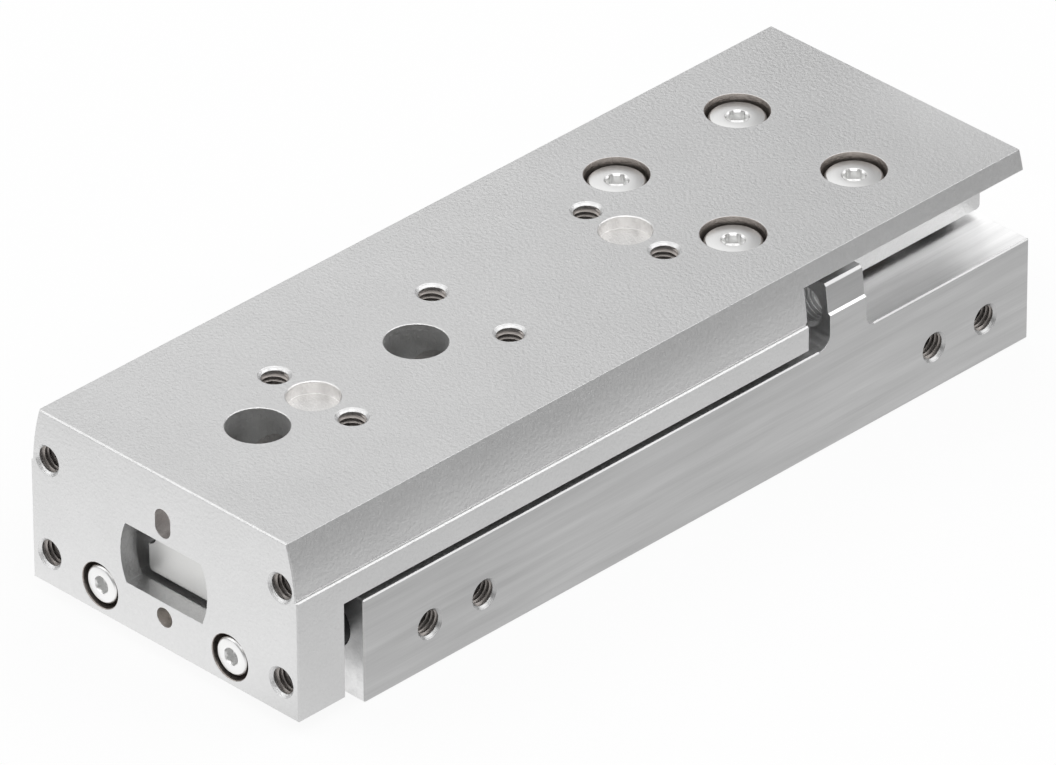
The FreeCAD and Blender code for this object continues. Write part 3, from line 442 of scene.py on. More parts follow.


# %% [markdown]
# The holes of the table get colours of their own. The counterbores of the screws are painted a dark
# brownish grey, as painted shade; the access holes are a lighter grey, and the floors of the centring
# holes are painted almost white, as painted light. In the yoke's front face the counterbores of the rod
# screws get the same painted shade, the slot is a little brown, and the pin hole is lighter, a little
# brown.

# %% Colours inside the holes, with painted shade and painted light
# Painted shade in the counterbores, and painted light on the floors of the centring holes.
counterbore_shade_brown = (0.40, 0.365, 0.34)
access_grey = (0.84, 0.84, 0.835)
centring_floor_lit_white = (0.83, 0.82, 0.81)
slot_brown = (0.73, 0.71, 0.70)
pin_brown = (0.90, 0.87, 0.84)
wall_skin = 0.1
counterbore_radius = 3.1
rod_counterbore_radius = 2.3
slot_reach = 2.5
carriage_screw_reach = (8, 7.5, 0)
top_z = cad_box[1].z / MM
front_x = cad_box[1].x / MM


def holes_like(middle, half_spacing, radius, color, axis=(0, 0, 1)):
    """The values of the hole mask, from sizes in millimetres, with the colour inside those holes."""
    values = {
        "Middle": Vector(middle) * MM,
        "Half spacing": Vector(half_spacing) * MM,
        "Axis": axis,
        "Radius": (radius + wall_skin) * MM,
    }
    return values, color


def bore_radius(name):
    """The radius of a mount that is a bore, in millimetres."""
    return mounts[name]["dims"]["r_mm"]


forwards = (1, 0, 0)
table_holes = [
    holes_like((carriage_screw_x, 0, top_z), carriage_screw_reach, counterbore_radius, counterbore_shade_brown),
    holes_like((access_x, 0, top_z), (access_reach, 0, 0), bore_radius("table_access_1"), access_grey),
    holes_like((centring_x, 0, top_z), (centring_reach, 0, 0), bore_radius("table_centring_1"),
               centring_floor_lit_white),
    holes_like((front_x, 0, cylinder_z), (0, cylinder_y, 0), rod_counterbore_radius, counterbore_shade_brown,
               forwards),
    holes_like((front_x, 0, slot_z), (0, 0, 0), slot_reach, slot_brown, forwards),
    holes_like((front_x, 0, pin_z), (0, 0, 0), bore_radius("yoke_pin_hole"), pin_brown, forwards),
]
print("hole patterns:", len(table_holes))

# %% [markdown]
# The aluminium of the table is blasted and clear anodised, so it is pale and even. The housing is
# brushed, a little darker, and its streaks show best on its long sides. Its ends, its top and the
# face behind the yoke are painted much brighter: painted light, by the direction of the faces. Rail and
# carriage are ground bearing steel. Screws are stainless and turned. The cut threads are painted darker
# than the faces around them: partly oil that stays in them, and partly painted shade, because light
# has to bounce more than once to come out.

# %% Metals of the slide
table_finish = metal("table_blasted_aluminium", (0.72, 0.72, 0.72), 0.42, bump=1.0, bump_depth=0.07,
                     pattern_swing=0.08, edge_highlight_gain=0.25, holes=table_holes, **{"Dents per mm": 2.8})
# The housing's faces that don't look along Y get painted light, a much brighter grey.
housing_finish = metal("housing_brushed_aluminium", (0.54, 0.54, 0.54), 0.34, pattern="streaks",
                       tone_swing=0.18, pattern_swing=0.10, bump=0.15, bump_depth=0.006, edge_highlight_gain=0.3,
                       painted_lit_faces_color=(0.92, 0.92, 0.92))
steel_finish = metal("ground_bearing_steel", (0.66, 0.66, 0.65), 0.34, bump=0.3, bump_depth=0.01,
                     **{"Dents per mm": 3.4})
screw_finish = metal("turned_stainless_steel", (0.85, 0.85, 0.845), 0.34, pattern="rings",
                     bump=0.06, bump_depth=0.002, edge_width=0.06, edge_highlight_gain=0.4)
# The threads' dark colour is partly oil and partly painted shade of their deep grooves.
thread_finish = metal("cut_thread_metal", (0.42, 0.39, 0.37), 0.38, bump=0.1, bump_depth=0.003,
                      edge_width=0.03, edge_highlight_gain=1.0, **{"Dents per mm": 6.0})
chrome_finish = metal("hard_chrome", (0.76, 0.77, 0.78), 0.10, bump=0.04, bump_depth=0.002,
                      edge_highlight_gain=0.1, roughness_swing=0.02, **{"Dents per mm": 9.0})
ball_finish = metal("polished_ball_steel", (0.74, 0.74, 0.75), 0.08, bump=0.03, bump_depth=0.001,
                    edge_highlight_gain=0.0, roughness_swing=0.02, **{"Dents per mm": 9.0})
spring_finish = metal("spring_steel", (0.16, 0.155, 0.16), 0.34, bump=0.2, bump_depth=0.004,
                      edge_highlight_gain=0.9, **{"Dents per mm": 5.0})
turned_finish = metal("turned_aluminium", (0.66, 0.66, 0.66), 0.30, pattern="rings", bump=0.3,
                      bump_depth=0.005, axis=(cylinder_y * MM, cylinder_z * MM), **{"Rings per mm": 5.0})
bronze_finish = metal("sintered_bronze", (0.50, 0.33, 0.16), 0.46, metallic=0.9, bump=0.5,
                      bump_depth=0.015, tone_swing=0.12, **{"Dents per mm": 5.0})
print("metals:", len(bpy.data.materials))

# %% [markdown]
# Rubber and moulded plastic aren't metals. They are dark, reflect only a little, and their surface is
# softer: rubber has a faint bloom, which a low sheen gives, and moulded plastic a fine even texture
# from the mould. The magnet is a bonded powder, dull and slightly speckled.

# %% Rubber, plastic and magnet
dull_edge_width = 0.08
dull_bump = 0.4


def dull(name, color, roughness, tone_swing, bump_depth, dents_per_mm, sheen=0.0):
    """A material that isn't a metal, with a fine texture."""
    material, tree, shader = new_material(name)
    grain = place_group(tree, grain_group, {"Dents per mm": dents_per_mm})
    factor = calculate(tree, "ADD", swing(tree, grain.outputs["Tone"], tone_swing), 1.0)
    tinted = add_node(tree, "VectorMath", operation="SCALE", values={0: color}, links={"Scale": factor})
    edges = place_group(tree, edge_group, {"Width": dull_edge_width * MM})
    dents = add_node(tree, "Bump", values={"Strength": dull_bump, "Distance": bump_depth * MM},
                     links={"Height": grain.outputs["Height"], "Normal": edges.outputs["Normal"]})
    shader.inputs["Roughness"].default_value = roughness
    shader.inputs["Sheen Weight"].default_value = sheen
    tree.links.new(tinted.outputs["Vector"], shader.inputs["Base Color"])
    tree.links.new(dents.outputs["Normal"], shader.inputs["Normal"])
    return material


rubber_finish = dull("seal_rubber", (0.022, 0.022, 0.023), 0.50, 0.3, 0.008, 5.0, sheen=0.15)
buffer_finish = dull("buffer_rubber", (0.018, 0.018, 0.019), 0.36, 0.2, 0.004, 4.0, sheen=0.05)
plastic_finish = dull("moulded_plastic", (0.045, 0.046, 0.048), 0.42, 0.15, 0.010, 4.5)
magnet_finish = dull("bonded_magnet", (0.075, 0.075, 0.08), 0.60, 0.4, 0.012, 6.0)
print("materials:", len(bpy.data.materials))

# %% [markdown]
# Each piece of the frame already has its shape, so it only takes a finish. The record says which
# finish slot every piece belongs to, and one table from slot to material dresses them all. A piece
# that comes in later, as a better model of the same thing, takes its material when it is made.

# %% Dress the frame
finish_of_slot = {
    "table_aluminium": table_finish,
    "housing_aluminium": housing_finish,
    "rail_steel": steel_finish,
    "screw_steel": screw_finish,
    "ball_steel": ball_finish,
    "rod_steel": chrome_finish,
    "spring_steel": spring_finish,
    "plug_aluminium": turned_finish,
    "piston_aluminium": turned_finish,
    "bearing_bronze": bronze_finish,
    "cap_plastic": plastic_finish,
    "seal_rubber": rubber_finish,
    "buffer_rubber": buffer_finish,
    "magnet_black": magnet_finish,
}
slot_of_node = {part["node"]: part["material_slot"] for part in frame["record"]["subparts"]}
for name, slot_name in slot_of_node.items():
    mesh = nodes[name].data
    mesh.materials.clear()
    mesh.materials.append(finish_of_slot[slot_name])
print("dressed:", len(slot_of_node), "nodes")

# %% [markdown]
# New pieces are modelled at the origin, upright, as on a lathe or a bench, and are then moved to
# where they belong. A placing matrix turns +Z to the direction that the piece faces. Several copies
# go into one mesh, so that a row of equal things is one piece.

# %% Helpers for new pieces
def facing(place, direction):
    """The matrix that puts the origin at a place and turns +Z to a direction."""
    turn = Vector(direction).to_track_quat("Z", "Y").to_matrix().to_4x4()
    return Matrix.Translation(place) @ turn


def copy_into(target, part, matrix):
    """Add a moved copy of one bmesh to another."""
    mesh = bpy.data.meshes.new("copy")
    part.to_mesh(mesh)
    mesh.transform(matrix)
    target.from_mesh(mesh)
    bpy.data.meshes.remove(mesh)


def finish_piece(name, shape, body, material, smooth_angle=35.0):
    """Make an object of a bmesh, and give it its body and material."""
    mesh = bpy.data.meshes.new(name)
    shape.to_mesh(mesh)
    shape.free()
    mesh.materials.append(material)
    mesh.shade_smooth()
    mesh.set_sharp_from_angle(angle=math.radians(smooth_angle))
    piece = bpy.data.objects.new(name, mesh)
    bpy.context.scene.collection.objects.link(piece)
    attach(piece, body)
    print("piece:", name, len(mesh.polygons), "faces")
    return piece


# %% [markdown]
# Screws and the mouths of threads are turned, so they are drawn as a lathe would cut them: a row of
# passes, each a ring at some radius and height, joined to the next. A ring may also be a hexagon,
# which makes a socket, or knurled, which makes the grip on the side of a head. Every point keeps its
# place from the axis in the "lathe" UV map, which the turned finish reads after the part is moved.
# Where the first and last pass meet, they are merged. Otherwise each closes with a face.

# %% Turned shapes
ring_points = 96
knurl_share = 0.02
joined_within = 0.0001 * MM
tip_radius = 0.04
flat_angle = math.pi / 3


def reach_of(kind, angle):
    """How far a ring of radius 1 reaches at an angle. It is round unless its kind says otherwise."""
    if "hexagon" in kind:
        from_flat = (angle + flat_angle / 2) % flat_angle - flat_angle / 2
        return 1 / math.cos(from_flat)
    if "knurled" in kind:
        return 1.0 - knurl_share * (round(angle / (2 * math.pi) * ring_points) % 2)
    return 1.0


def beside(radius, height, steps):
    """Passes that are given by how far they lie outwards and upwards of a corner."""
    return [(radius + outwards, height + upwards) for outwards, upwards in steps]


def turned(passes):
    """A closed shape about +Z from passes of radius and height, in millimetres, and any special kind."""
    shape = bmesh.new()
    bmesh.ops.create_circle(shape, cap_ends=False, radius=1.0, segments=ring_points)
    edges = shape.edges[:]
    for number, (radius, height, *kind) in enumerate(passes):
        if number:
            grown = bmesh.ops.extrude_edge_only(shape, edges=edges)["geom"]
            edges = [item for item in grown if isinstance(item, bmesh.types.BMEdge)]
        for vertex in {corner for edge in edges for corner in edge.verts}:
            angle = math.atan2(vertex.co.y, vertex.co.x)
            reach = radius * MM * reach_of(kind, angle)
            vertex.co = Vector((reach * math.cos(angle), reach * math.sin(angle), height * MM))
    bmesh.ops.remove_doubles(shape, verts=shape.verts, dist=joined_within)
    open_edges = [edge for edge in shape.edges if edge.is_boundary]
    bmesh.ops.holes_fill(shape, edges=open_edges, sides=0)
    bmesh.ops.recalc_face_normals(shape, faces=shape.faces)
    lathe = shape.loops.layers.uv.new("lathe")
    for face in shape.faces:
        for corner in face.loops:
            corner[lathe].uv = (corner.vert.co.x / MM, corner.vert.co.y / MM)
    return shape


print("points on a ring:", ring_points)

# %% [markdown]
# A screw thread is one ridge that winds round an axis. The spin operator does this when it is also
# given a small shift along the axis for each step: the ridge's outline climbs while it turns. A
# right-hand thread climbs as it turns anticlockwise seen from above, so the ridge starts at the
# bottom. Within about an eighth of a turn of each end it sinks into the wall, as where a tap runs out.

# %% Threads
steps_per_turn = 28
sunk = 0.03 * MM
root_share = 0.46
crest_share = 0.08
fade_share = 0.25


def thread(radius, depth, pitch, bottom, top, inwards=True):
    """A helical ridge about +Z. It points to the axis in a hole, and away from it on a screw."""
    shape = bmesh.new()
    side = -1.0 if inwards else 1.0
    root = radius - side * sunk
    crest = radius + side * depth
    corners = [(root, -root_share), (crest, -crest_share), (crest, crest_share), (root, root_share)]
    ring = [shape.verts.new((r, 0.0, bottom + share * pitch)) for r, share in corners]
    outline = [shape.edges.new((ring[i - 1], ring[i])) for i in range(len(ring))]
    turns = (top - bottom) / pitch
    steps = max(4, round(turns * steps_per_turn))
    bmesh.ops.spin(shape, geom=ring + outline, cent=(0, 0, 0), axis=(0, 0, 1),
                   dvec=(0, 0, (top - bottom) / steps), angle=turns * 2 * math.pi, steps=steps,
                   use_merge=False, use_duplicate=False)
    bmesh.ops.holes_fill(shape, edges=shape.edges, sides=4)
    fade = pitch * fade_share
    for vertex in shape.verts:
        near_end = min(vertex.co.z - bottom, top - vertex.co.z)
        share = max(0.0, min(1.0, 0.5 + near_end / fade))
        flat = Vector((vertex.co.x, vertex.co.y, 0))
        wanted = root + (flat.length - root) * share
        vertex.co += flat.normalized() * (wanted - flat.length)
    bmesh.ops.recalc_face_normals(shape, faces=shape.faces)
    return shape


print("steps in a turn of thread:", steps_per_turn)

# %% [markdown]
# All threads of one side of the slide are one piece. Where they go is read from the record: each
# mount gives the middle of its pattern, its direction and its spacings, which is enough to find
# every hole.

# %% Places of the threaded holes
def pattern_places(mount):
    """The mouths of all the holes of a bolt pattern, and the direction out of them."""
    axis = Vector(mount["axis"])
    rows = (Vector((1, 0, 0)), Vector((0, 1, 0)), Vector((0, 0, 1)))
    across = [row for row in rows if abs(axis.dot(row)) < 0.5]
    middle = Vector(mount["pos_m"])
    places = [middle]
    for direction, key in zip(across, ("spacing_x_mm", "spacing_y_mm")):
        half = mount["dims"].get(key, 0.0) / 2 * MM
        if half:
            places = [p + direction * half * sign for p in places for sign in (-1, 1)]
    return places, axis


def holes_of(*names):
    """Mouths and directions of the holes of several mounts."""
    return [(place, axis) for name in names for places, axis in [pattern_places(mounts[name])]
            for place in places]


print("threaded holes in the table's top:", len(holes_of("table_threads_outer", "table_threads_middle")))

# %% [markdown]
# A tapped hole has a countersunk mouth, which catches the light as a bright ring. The ring is turned
# and lies just inside the hole, so the solid round it stays as it is. Its outline says how far each
# point lies outside the thread's radius and above the face, in millimetres. It has the finish of the
# face that it was cut in. The metric table gives a pitch of 0.5 mm for M3. The stop screws have to be set
# finely, so their M4 threads have a fine pitch of 0.5 mm too.

# %% Threaded holes
m3_pitch = 0.5 * MM
stop_pitch = 0.5 * MM
thread_depth_share = 0.54
thread_smooth_angle = 50.0
mouth_length = 0.24 * MM
mouth_outline = ((0.02, -0.07), (0.0, -0.07), (-0.22, -0.29), (-0.22, -0.33), (0.02, -0.45), (0.02, -0.07))
mouth_finishes = {"table_aluminium": table_finish, "housing_aluminium": housing_finish}


def threaded_holes(name, body, slot_name, holes, radius, pitch, length, finish=thread_finish):
    """The threads of a list of mouths and directions as one piece, and their mouths as another."""
    shape = bmesh.new()
    ridge = thread(radius, pitch * thread_depth_share, pitch, -length, -mouth_length - pitch / 2)
    for place, axis in holes:
        copy_into(shape, ridge, facing(place, axis))
    ridge.free()
    finish_piece(name, shape, body, finish, smooth_angle=thread_smooth_angle)
    mouth = turned(beside(radius / MM, 0.0, mouth_outline))
    mouths = bmesh.new()
    for place, axis in holes:
        copy_into(mouths, mouth, facing(place, axis))
    mouth.free()
    mouth_name = name.replace("threads", "thread_mouths")
    finish_piece(mouth_name, mouths, body, mouth_finishes[slot_name])


m3_radius = mounts["table_threads_outer"]["dims"]["hole_r_mm"] * MM
threaded_holes("table_top_threads", "slide", "table_aluminium",
               holes_of("table_threads_outer", "table_threads_middle"), m3_radius, m3_pitch,
               length=4.0 * MM)
threaded_holes("yoke_threads", "slide", "table_aluminium", holes_of("yoke_threads"), m3_radius,
               m3_pitch, length=4.7 * MM)
threaded_holes("base_threads", "housing", "housing_aluminium", holes_of("base_threads"), m3_radius,
               m3_pitch, length=4.2 * MM)

# %% [markdown]
# The side of the housing has four threads in a row: the outer ones take mounting screws, and the
# inner ones are the air ports. The ports on the far side are closed by set screws, so their threads
# stop where the set screw starts. The stop threads go right through the two lugs. Light comes in at
# both of their ends, so they keep the housing's pale finish.

# %% Side threads and stop threads
side_thread_length = 4.7 * MM
far_port_thread_length = 1.7 * MM
stop_run_out = 0.3 * MM
half_width = (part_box("housing")[1].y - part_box("housing")[0].y) / 2
port_holes = []
for name in ("air_port_front", "air_port_rear"):
    port = mounts[name]["pos_m"]
    port_holes.append((Vector((port[0], half_width, port[2])), Vector((0, 1, 0))))
far_ports = [(Vector((place.x, -place.y, place.z)), -axis) for place, axis in port_holes]
threaded_holes("side_threads_left", "housing", "housing_aluminium",
               holes_of("side_threads_left") + port_holes, m3_radius, m3_pitch, side_thread_length)
threaded_holes("side_threads_right", "housing", "housing_aluminium", holes_of("side_threads_right"),
               m3_radius, m3_pitch, side_thread_length)
threaded_holes("far_port_threads", "housing", "housing_aluminium", far_ports,
               m3_radius, m3_pitch, far_port_thread_length)

stop = mounts["stop_thread_left"]
stop_length = stop["dims"]["length_mm"] * MM
stop_holes = []
for name in ("stop_thread_left", "stop_thread_right"):
    middle = Vector(mounts[name]["pos_m"])
    stop_holes.append((middle + Vector((stop_length / 2, 0, 0)), Vector((1, 0, 0))))
threaded_holes("stop_lug_threads", "housing", "housing_aluminium", stop_holes,
               stop["dims"]["r_mm"] * MM, stop_pitch, stop_length - stop_run_out, housing_finish)

# %% [markdown]
# A socket screw is turned from its socket outwards: up the socket, over the face of the head, down
# its knurled side, under the head and down the shank. The ridge of the thread runs round the shank.
# The edges are outlines of two to four points, given from their corner, so that they stay the same
# on screws of every size.

# %% Socket screw shape
drill_slope = 0.4
drill_share = 0.97
socket_step = 0.02
socket_edge = 0.2
socket_lip = 0.03
head_edge = ((-0.21, 0.0), (-0.17, -0.02), (-0.02, -0.16), (0.0, -0.20))
head_foot = ((0.0, 0.20), (-0.12, 0.0))
knurl_inset = 0.26
screw_depth_share = 0.6
undercut = 0.12
screw_tip = 0.25
thread_from_tip = 0.5
thread_from_head = 0.7


def socket(flat, mouth, depth):
    """Passes up a socket: from the drilled cone in its floor to just under its mouth."""
    floor = mouth - depth
    return [
        (tip_radius, floor - flat * drill_slope),
        (flat * drill_share, floor),
        (flat, floor + socket_step, "hexagon"),
        (flat, mouth - socket_edge, "hexagon"),
    ]


def socket_screw(head_radius, head_height, across_flats, socket_depth, thread_radius, pitch, length):
    """A socket screw that points down, with the seat of its head at the origin. In millimetres."""
    flat = across_flats / 2
    corner = flat / math.cos(flat_angle / 2)
    core = thread_radius - screw_depth_share * pitch
    shape = turned([
        *socket(flat, head_height, socket_depth),
        (corner + socket_lip, head_height),
        *beside(head_radius, head_height, head_edge),
        (head_radius, head_height - knurl_inset, "knurled"),
        (head_radius, knurl_inset, "knurled"),
        *beside(head_radius, 0.0, head_foot),
        (thread_radius, 0.0),
        (core, -undercut),
        (core, -length + screw_tip),
        (core - screw_tip, -length),
    ])
    ridge = thread(core * MM, (thread_radius - core) * MM, pitch * MM,
                   (-length + thread_from_tip) * MM, -thread_from_head * MM, inwards=False)
    copy_into(shape, ridge, Matrix.Identity(4))
    ridge.free()
    return shape


# %% [markdown]
# The screws take the places of the plain ones in the frame. Their boxes give the rows: a box reaches
# from the side of the first head to the side of the last one. The heads on the table stand with a
# corner of the socket across the view, and the ones in the yoke a little turned, as they were left by
# the key.

# %% Rows of screws
def row(low, high, reach, count):
    """Middles of equal things in a row, from the ends of their box and the reach of each."""
    first = low / MM + reach
    last = high / MM - reach
    return [first + (last - first) * index / max(1, count - 1) for index in range(count)]


def screws(node, body, screw, places, turn=0.0):
    """One piece with a copy of a screw at every place and direction. It replaces a node."""
    shape = bmesh.new()
    shape.loops.layers.uv.new("lathe")
    spin = Matrix.Rotation(math.radians(turn), 4, "Z")
    for place, direction in places:
        copy_into(shape, screw, facing(Vector(place) * MM, direction) @ spin)
    screw.free()
    piece = finish_piece(node + "_cut", shape, body, screw_finish)
    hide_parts(node)


m3_head = {"head_radius": 2.75, "head_height": 2.0, "across_flats": 2.0, "socket_depth": 1.1,
           "thread_radius": 1.45, "pitch": 0.5}
m2_head = {"head_radius": 1.9, "head_height": 2.0, "across_flats": 1.5, "socket_depth": 1.0,
           "thread_radius": 0.95, "pitch": 0.4}
cap_head = {"head_radius": 1.4, "head_height": 1.0, "across_flats": 1.3, "socket_depth": 0.5,
            "thread_radius": 0.75, "pitch": 0.35}
upwards = (0, 0, 1)

low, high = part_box("carriage_screws")
seat = high.z / MM - m3_head["head_height"]
screws("carriage_screws", "slide", socket_screw(length=seat - low.z / MM, **m3_head),
       [((x, y, seat), upwards) for x in row(low.x, high.x, m3_head["head_radius"], 2)
        for y in row(low.y, high.y, m3_head["head_radius"], 2)], turn=45)

low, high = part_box("rail_screws")
seat = high.z / MM - m3_head["head_height"]
screws("rail_screws", "housing", socket_screw(length=seat - low.z / MM, **m3_head),
       [((x, 0, seat), upwards) for x in row(low.x, high.x, m3_head["head_radius"], 4)], turn=20)

low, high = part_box("rod_screws")
seat = high.x / MM - m2_head["head_height"]
screws("rod_screws", "slide", socket_screw(length=seat - low.x / MM, **m2_head),
       [((seat, y, cylinder_z), forwards) for y in (-cylinder_y, cylinder_y)], turn=12)

# %% [markdown]
# The screws of the end caps go through the seal and the cap into the carriage block, from both ends
# of the carriage. Their length is what they pass through and a grip in the block.

# %% Screws of the end caps
cap_screw_grip = 4.0
low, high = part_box("end_cap_screws")
cap_y = high.y / MM - cap_head["head_radius"]
cap_z = (low.z + high.z) / 2 / MM
cap_ends = (
    (low.x / MM + cap_head["head_height"], -1),
    (high.x / MM - cap_head["head_height"], 1),
)
passed_through = (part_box("end_seal_front")[1].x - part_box("carriage_block")[1].x) / MM
screws("end_cap_screws", "slide", socket_screw(length=passed_through + cap_screw_grip, **cap_head),
       [((x, y, cap_z), (way, 0, 0)) for y in (-cap_y, cap_y) for x, way in cap_ends])

# %% [markdown]
# The ports on the far side are closed by set screws, which are threaded all over and have a socket
# but no head.

# %% Set screws in the far ports
low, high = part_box("port_plugs")
plug_length = (high.y - low.y) / MM
plug_radius = 1.45
plug_face = 1.15
plug_root = 1.27
plug_edge = 0.15
plug_tip = 0.4
plug_thread_depth = 0.17
plug_thread_from_tip = 0.6
plug_thread_from_face = 0.4
plug_flat = 0.75
plug_socket_depth = 1.0
socket_flare = 1.2
plug = turned([
    *socket(plug_flat, 0.0, plug_socket_depth),
    (plug_flat * socket_flare, 0.0),
    (plug_face, 0.0),
    (plug_root, -plug_edge),
    (plug_root, -plug_length + plug_tip),
    (plug_face - screw_tip, -plug_length),
])
ridge = thread(plug_root * MM, plug_thread_depth * MM, m3_pitch,
               (-plug_length + plug_thread_from_tip) * MM, -plug_thread_from_face * MM, inwards=False)
copy_into(plug, ridge, Matrix.Identity(4))
ridge.free()
port_x = row(low.x, high.x, plug_radius, 2)
screws("port_plugs", "housing", plug, [((x, low.y / MM, cylinder_z), (0, -1, 0)) for x in port_x], turn=8)

# %% [markdown]
# The rubber buffers are moulded, so their edges are round and the nose is a dome that gives way
# before the flat of the yoke meets it. A groove behind the nose lets the rubber bulge.

# %% Retract buffers
buffer_seat_length = 3.0
buffer_nose_radius = 1.7
seat_foot = ((-0.15, 0.0), (0.0, 0.15))
seat_shoulder = ((0.0, -0.35), (-0.12, -0.1))
neck_groove = ((0.25, -0.02), (-0.05, 0.08), (-0.1, 0.35), (0.0, 0.6))
nose_dome = ((0.0, -0.65), (-0.12, -0.35), (-0.42, -0.12), (-0.9, -0.02))

for side in ("left", "right"):
    node = "retract_buffer_" + side
    low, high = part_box(node)
    length = (high.x - low.x) / MM
    seat_radius = (high.y - low.y) / 2 / MM
    buffer = turned([
        *beside(seat_radius, 0.0, seat_foot),
        *beside(seat_radius, buffer_seat_length, seat_shoulder),
        *beside(buffer_nose_radius, buffer_seat_length, neck_groove),
        *beside(buffer_nose_radius, length, nose_dome),
        (tip_radius, length),
    ])
    shape = bmesh.new()
    shape.loops.layers.uv.new("lathe")
    place = Vector((low.x, (low.y + high.y) / 2, (low.z + high.z) / 2))
    copy_into(shape, buffer, facing(place, forwards))
    buffer.free()
    piece = finish_piece(node + "_moulded", shape, "housing", buffer_finish)
    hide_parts(node)

# %% [markdown]
# A spring ring is a flat open ring. Its ends widen into two ears, each with a hole for the pliers.
# The ring is a small rectangle, spun most of the way round the axis. The ears are short tubes that
# the ring runs into.

# %% Spring rings
ring_gap_angle = math.radians(44)
ring_steps = 90
ring_width = 0.72
ear_radius = 0.62
ear_hole = 0.28
ear_lead = 0.06
ear_inset = 0.02


def spring_ring(outer, inner, thickness):
    """An open flat ring about +Z with two ears, gap towards +Y. In millimetres."""
    shape = bmesh.new()
    start = math.pi / 2 + ring_gap_angle / 2
    sweep = 2 * math.pi - ring_gap_angle
    direction = Vector((math.cos(start), math.sin(start), 0))
    corners = []
    for reach, height in ((inner, 0), (outer, 0), (outer, thickness), (inner, thickness)):
        corners.append(shape.verts.new((direction * reach + Vector((0, 0, height))) * MM))
    outline = [shape.edges.new((corners[index - 1], corners[index])) for index in range(4)]
    bmesh.ops.spin(shape, geom=corners + outline, cent=(0, 0, 0), axis=(0, 0, 1), angle=sweep,
                   steps=ring_steps, use_merge=False, use_duplicate=False)
    bmesh.ops.holes_fill(shape, edges=shape.edges, sides=4)
    bmesh.ops.recalc_face_normals(shape, faces=shape.faces)
    ear = turned([
        (ear_hole, 0.0),
        (ear_radius, 0.0),
        (ear_radius, thickness),
        (ear_hole, thickness),
        (ear_hole, 0.0),
    ])
    reach = outer - ear_radius - ear_inset
    for sign in (-1, 1):
        angle = math.pi / 2 + sign * (ring_gap_angle / 2 + ear_lead)
        ear_place = Vector((math.cos(angle) * reach, math.sin(angle) * reach, 0)) * MM
        copy_into(shape, ear, Matrix.Translation(ear_place))
    ear.free()
    return shape


quarter = math.pi / 2
ring_turn = Matrix.Rotation(quarter, 4, "Z") @ Matrix.Rotation(quarter, 4, "X")
for side in ("left", "right"):
    node = "plug_circlip_" + side
    low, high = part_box(node)
    outer = (high.y - low.y) / 2 / MM
    ring = spring_ring(outer, outer - ring_width, (high.x - low.x) / MM)
    place = Vector((low.x, (low.y + high.y) / 2, cylinder_z * MM))
    shape = bmesh.new()
    shape.loops.layers.uv.new("lathe")
    copy_into(shape, ring, Matrix.Translation(place) @ ring_turn)
    ring.free()
    piece = finish_piece(node + "_eared", shape, "housing", spring_finish)
    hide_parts(node)

# %% [markdown]
# The plain surroundings come last. The floor is a wide square just under the base of the slide.

# %% Floor
floor_half = 3.0
floor_drop = 0.05 * MM
floor_shape = bmesh.new()
bmesh.ops.create_grid(floor_shape, x_segments=1, y_segments=1, size=floor_half,
                      matrix=Matrix.Translation((0, 0, -floor_drop)))
floor_mesh = bpy.data.meshes.new("floor")
floor_shape.to_mesh(floor_mesh)
floor_shape.free()
floor = bpy.data.objects.new("floor", floor_mesh)
bpy.context.scene.collection.objects.link(floor)
print("floor:", floor_half * 2, "m wide")

# %% [markdown]
# The camera sees the floor as plain white, with a tenth of its real light left for a faint shadow.
# The metal sees it differently. In a mirror the floor is a dark one, on which a pool of light lies
# round the slide, like the white cards that a photographer lays out: full light to the front right of
# the slide, two thirds of it near the other sides, and hardly any further out on the left. Each card
# fades over some distance, because metal shows a hard edge of a card as a line.

# %% The floor's light
floor_tone = 0.85
mirrored_drop = 0.55
mirrored_glow = 0.14
seen_white = 0.9
pool_start = 0.05
pool_end = 0.20
card_direction = (0.707, -0.707, 0.0)
card_start = 0.005
card_end = 0.035
side_start = 0.025
side_end = 0.08
near_share = 0.66
far_share = 0.06


def eased(tree, value, start, end, at_start, at_end):
    """A number that changes softly from one value to another between two distances, in metres."""
    return add_node(tree, "MapRange", interpolation_type="SMOOTHSTEP", links={"Value": value}, values={
        "From Min": start,
        "From Max": end,
        "To Min": at_start,
        "To Max": at_end,
    }).outputs["Result"]


floor_finish = bpy.data.materials.new("pale_floor")
floor_finish.use_nodes = True
tree = floor_finish.node_tree
tree.nodes.clear()
path = add_node(tree, "LightPath")
mirrored = calculate(tree, "MAXIMUM", path.outputs["Is Glossy Ray"], path.outputs["Is Transmission Ray"])
tone = calculate(tree, "SUBTRACT", floor_tone, calculate(tree, "MULTIPLY", mirrored, mirrored_drop))
matt = add_node(tree, "BsdfDiffuse", links={"Color": tone})
strength = calculate(tree, "ADD", 1.0, calculate(tree, "MULTIPLY", mirrored, mirrored_glow))
white = add_node(tree, "Emission", values={"Color": (1, 1, 1, 1)}, links={"Strength": strength})

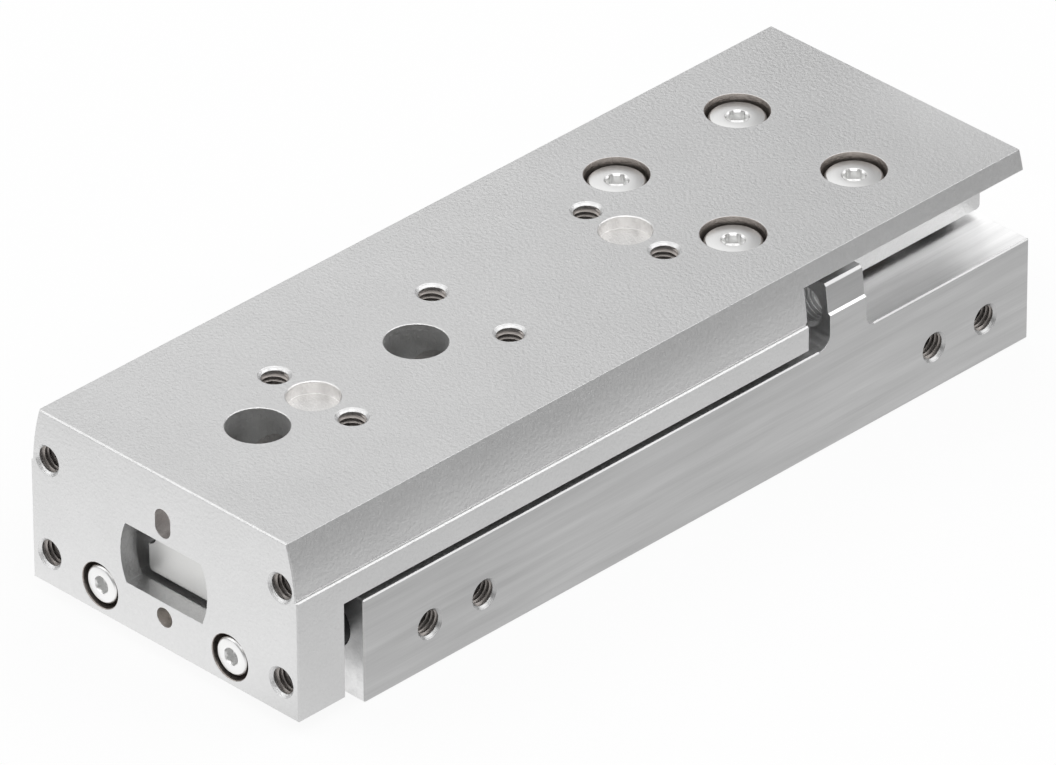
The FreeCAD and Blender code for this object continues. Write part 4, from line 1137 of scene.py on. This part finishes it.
floor_place = add_node(tree, "TexCoord").outputs["Object"]
from_middle = add_node(tree, "VectorMath", operation="LENGTH", links={0: floor_place}).outputs["Value"]
to_front = add_node(tree, "VectorMath", operation="DOT_PRODUCT", values={1: card_direction},
                    links={0: floor_place}).outputs["Value"]
to_side = add_node(tree, "SeparateXYZ", links={"Vector": floor_place}).outputs["Y"]
pool = eased(tree, from_middle, pool_start, pool_end, 1.0, 0.0)
front_card = eased(tree, to_front, card_start, card_end, 0.0, 1.0)
side_card = eased(tree, to_side, side_start, side_end, near_share, far_share)
lit = calculate(tree, "MULTIPLY", pool, calculate(tree, "MAXIMUM", front_card, side_card))
in_mirrors = calculate(tree, "MULTIPLY", mirrored, lit)
in_view = calculate(tree, "MULTIPLY", path.outputs["Is Camera Ray"], seen_white)
share = calculate(tree, "MAXIMUM", in_view, in_mirrors)
both = add_node(tree, "MixShader", links={0: share, 1: matt.outputs[0], 2: white.outputs[0]})
add_node(tree, "OutputMaterial", links={"Surface": both.outputs[0]})
floor_mesh.materials.append(floor_finish)
print("floor's nodes:", len(tree.nodes))

# %% [markdown]
# The world is white where the camera sees it. As a light, it is darker at the horizon than overhead,
# so that upright faces and slopes get different greys.

# %% World
sky_stops = [(0.0, 0.20), (0.25, 0.36), (0.55, 0.50), (1.0, 0.9)]
sky_strength = 0.8

world = bpy.data.worlds.new("studio")
bpy.context.scene.world = world
world.use_nodes = True
tree = world.node_tree
tree.nodes.clear()
direction = add_node(tree, "TexCoord").outputs["Generated"]
height = add_node(tree, "SeparateXYZ", links={"Vector": direction}).outputs["Z"]
ramp = add_node(tree, "ValToRGB", links={"Fac": height})
ramp.color_ramp.interpolation = "EASE"
ramp.color_ramp.elements[0].position = sky_stops[0][0]
ramp.color_ramp.elements[1].position = sky_stops[-1][0]
for position, grey in sky_stops[1:-1]:
    ramp.color_ramp.elements.new(position)
for element, (position, grey) in zip(ramp.color_ramp.elements, sky_stops):
    element.color = (grey, grey, grey, 1)
sky = add_node(tree, "Background", values={"Strength": sky_strength},
               links={"Color": ramp.outputs["Color"]})
backdrop = add_node(tree, "Background", values={"Color": (1, 1, 1, 1), "Strength": 1.0})
path = add_node(tree, "LightPath")
both = add_node(tree, "MixShader", links={0: path.outputs["Is Camera Ray"], 1: sky.outputs[0],
                                          2: backdrop.outputs[0]})
add_node(tree, "OutputWorld", links={"Surface": both.outputs[0]})
print("world:", world.name)

# %% [markdown]
# The lamps are soft and large, because metal shows whatever stands around it: a small lamp would give
# hard glints. Three of them light the slide from its front and both sides. Two small ones stand
# close: one behind, and a tiny one at the rear end, which lays a sheen on the last stretch of the
# housing's top. The camera sees none of them.

# %% Lamps
def soft_lamp(name, azimuth, elevation, distance, size, power):
    """A square area lamp that looks at the slide from a direction given in degrees."""
    data = bpy.data.lights.new(name, "AREA")
    data.size = size
    data.energy = power
    level = math.cos(math.radians(elevation))
    way = Vector((
        math.cos(math.radians(azimuth)) * level,
        math.sin(math.radians(azimuth)) * level,
        math.sin(math.radians(elevation)),
    ))
    lamp = bpy.data.objects.new(name, data)
    bpy.context.scene.collection.objects.link(lamp)
    lamp.matrix_world = facing(way * distance, way)
    lamp.visible_camera = False
    print("lamp:", name, power, "W")


soft_lamp("front_lamp", azimuth=45, elevation=54, distance=0.8, size=0.7, power=2.1)
soft_lamp("right_lamp", azimuth=-48, elevation=40, distance=0.8, size=0.7, power=1.8)
soft_lamp("left_lamp", azimuth=135, elevation=40, distance=0.8, size=0.75, power=2.3)
soft_lamp("back_lamp", azimuth=244, elevation=41, distance=0.31, size=0.25, power=0.11)
soft_lamp("rear_card", azimuth=185, elevation=16, distance=0.068, size=0.018, power=0.0009)

# %% [markdown]
# Last, colours are shown as they are, without the contrast curve that Blender would otherwise lay
# over them.

# %% Colours as they are
bpy.context.scene.view_settings.view_transform = "Standard"
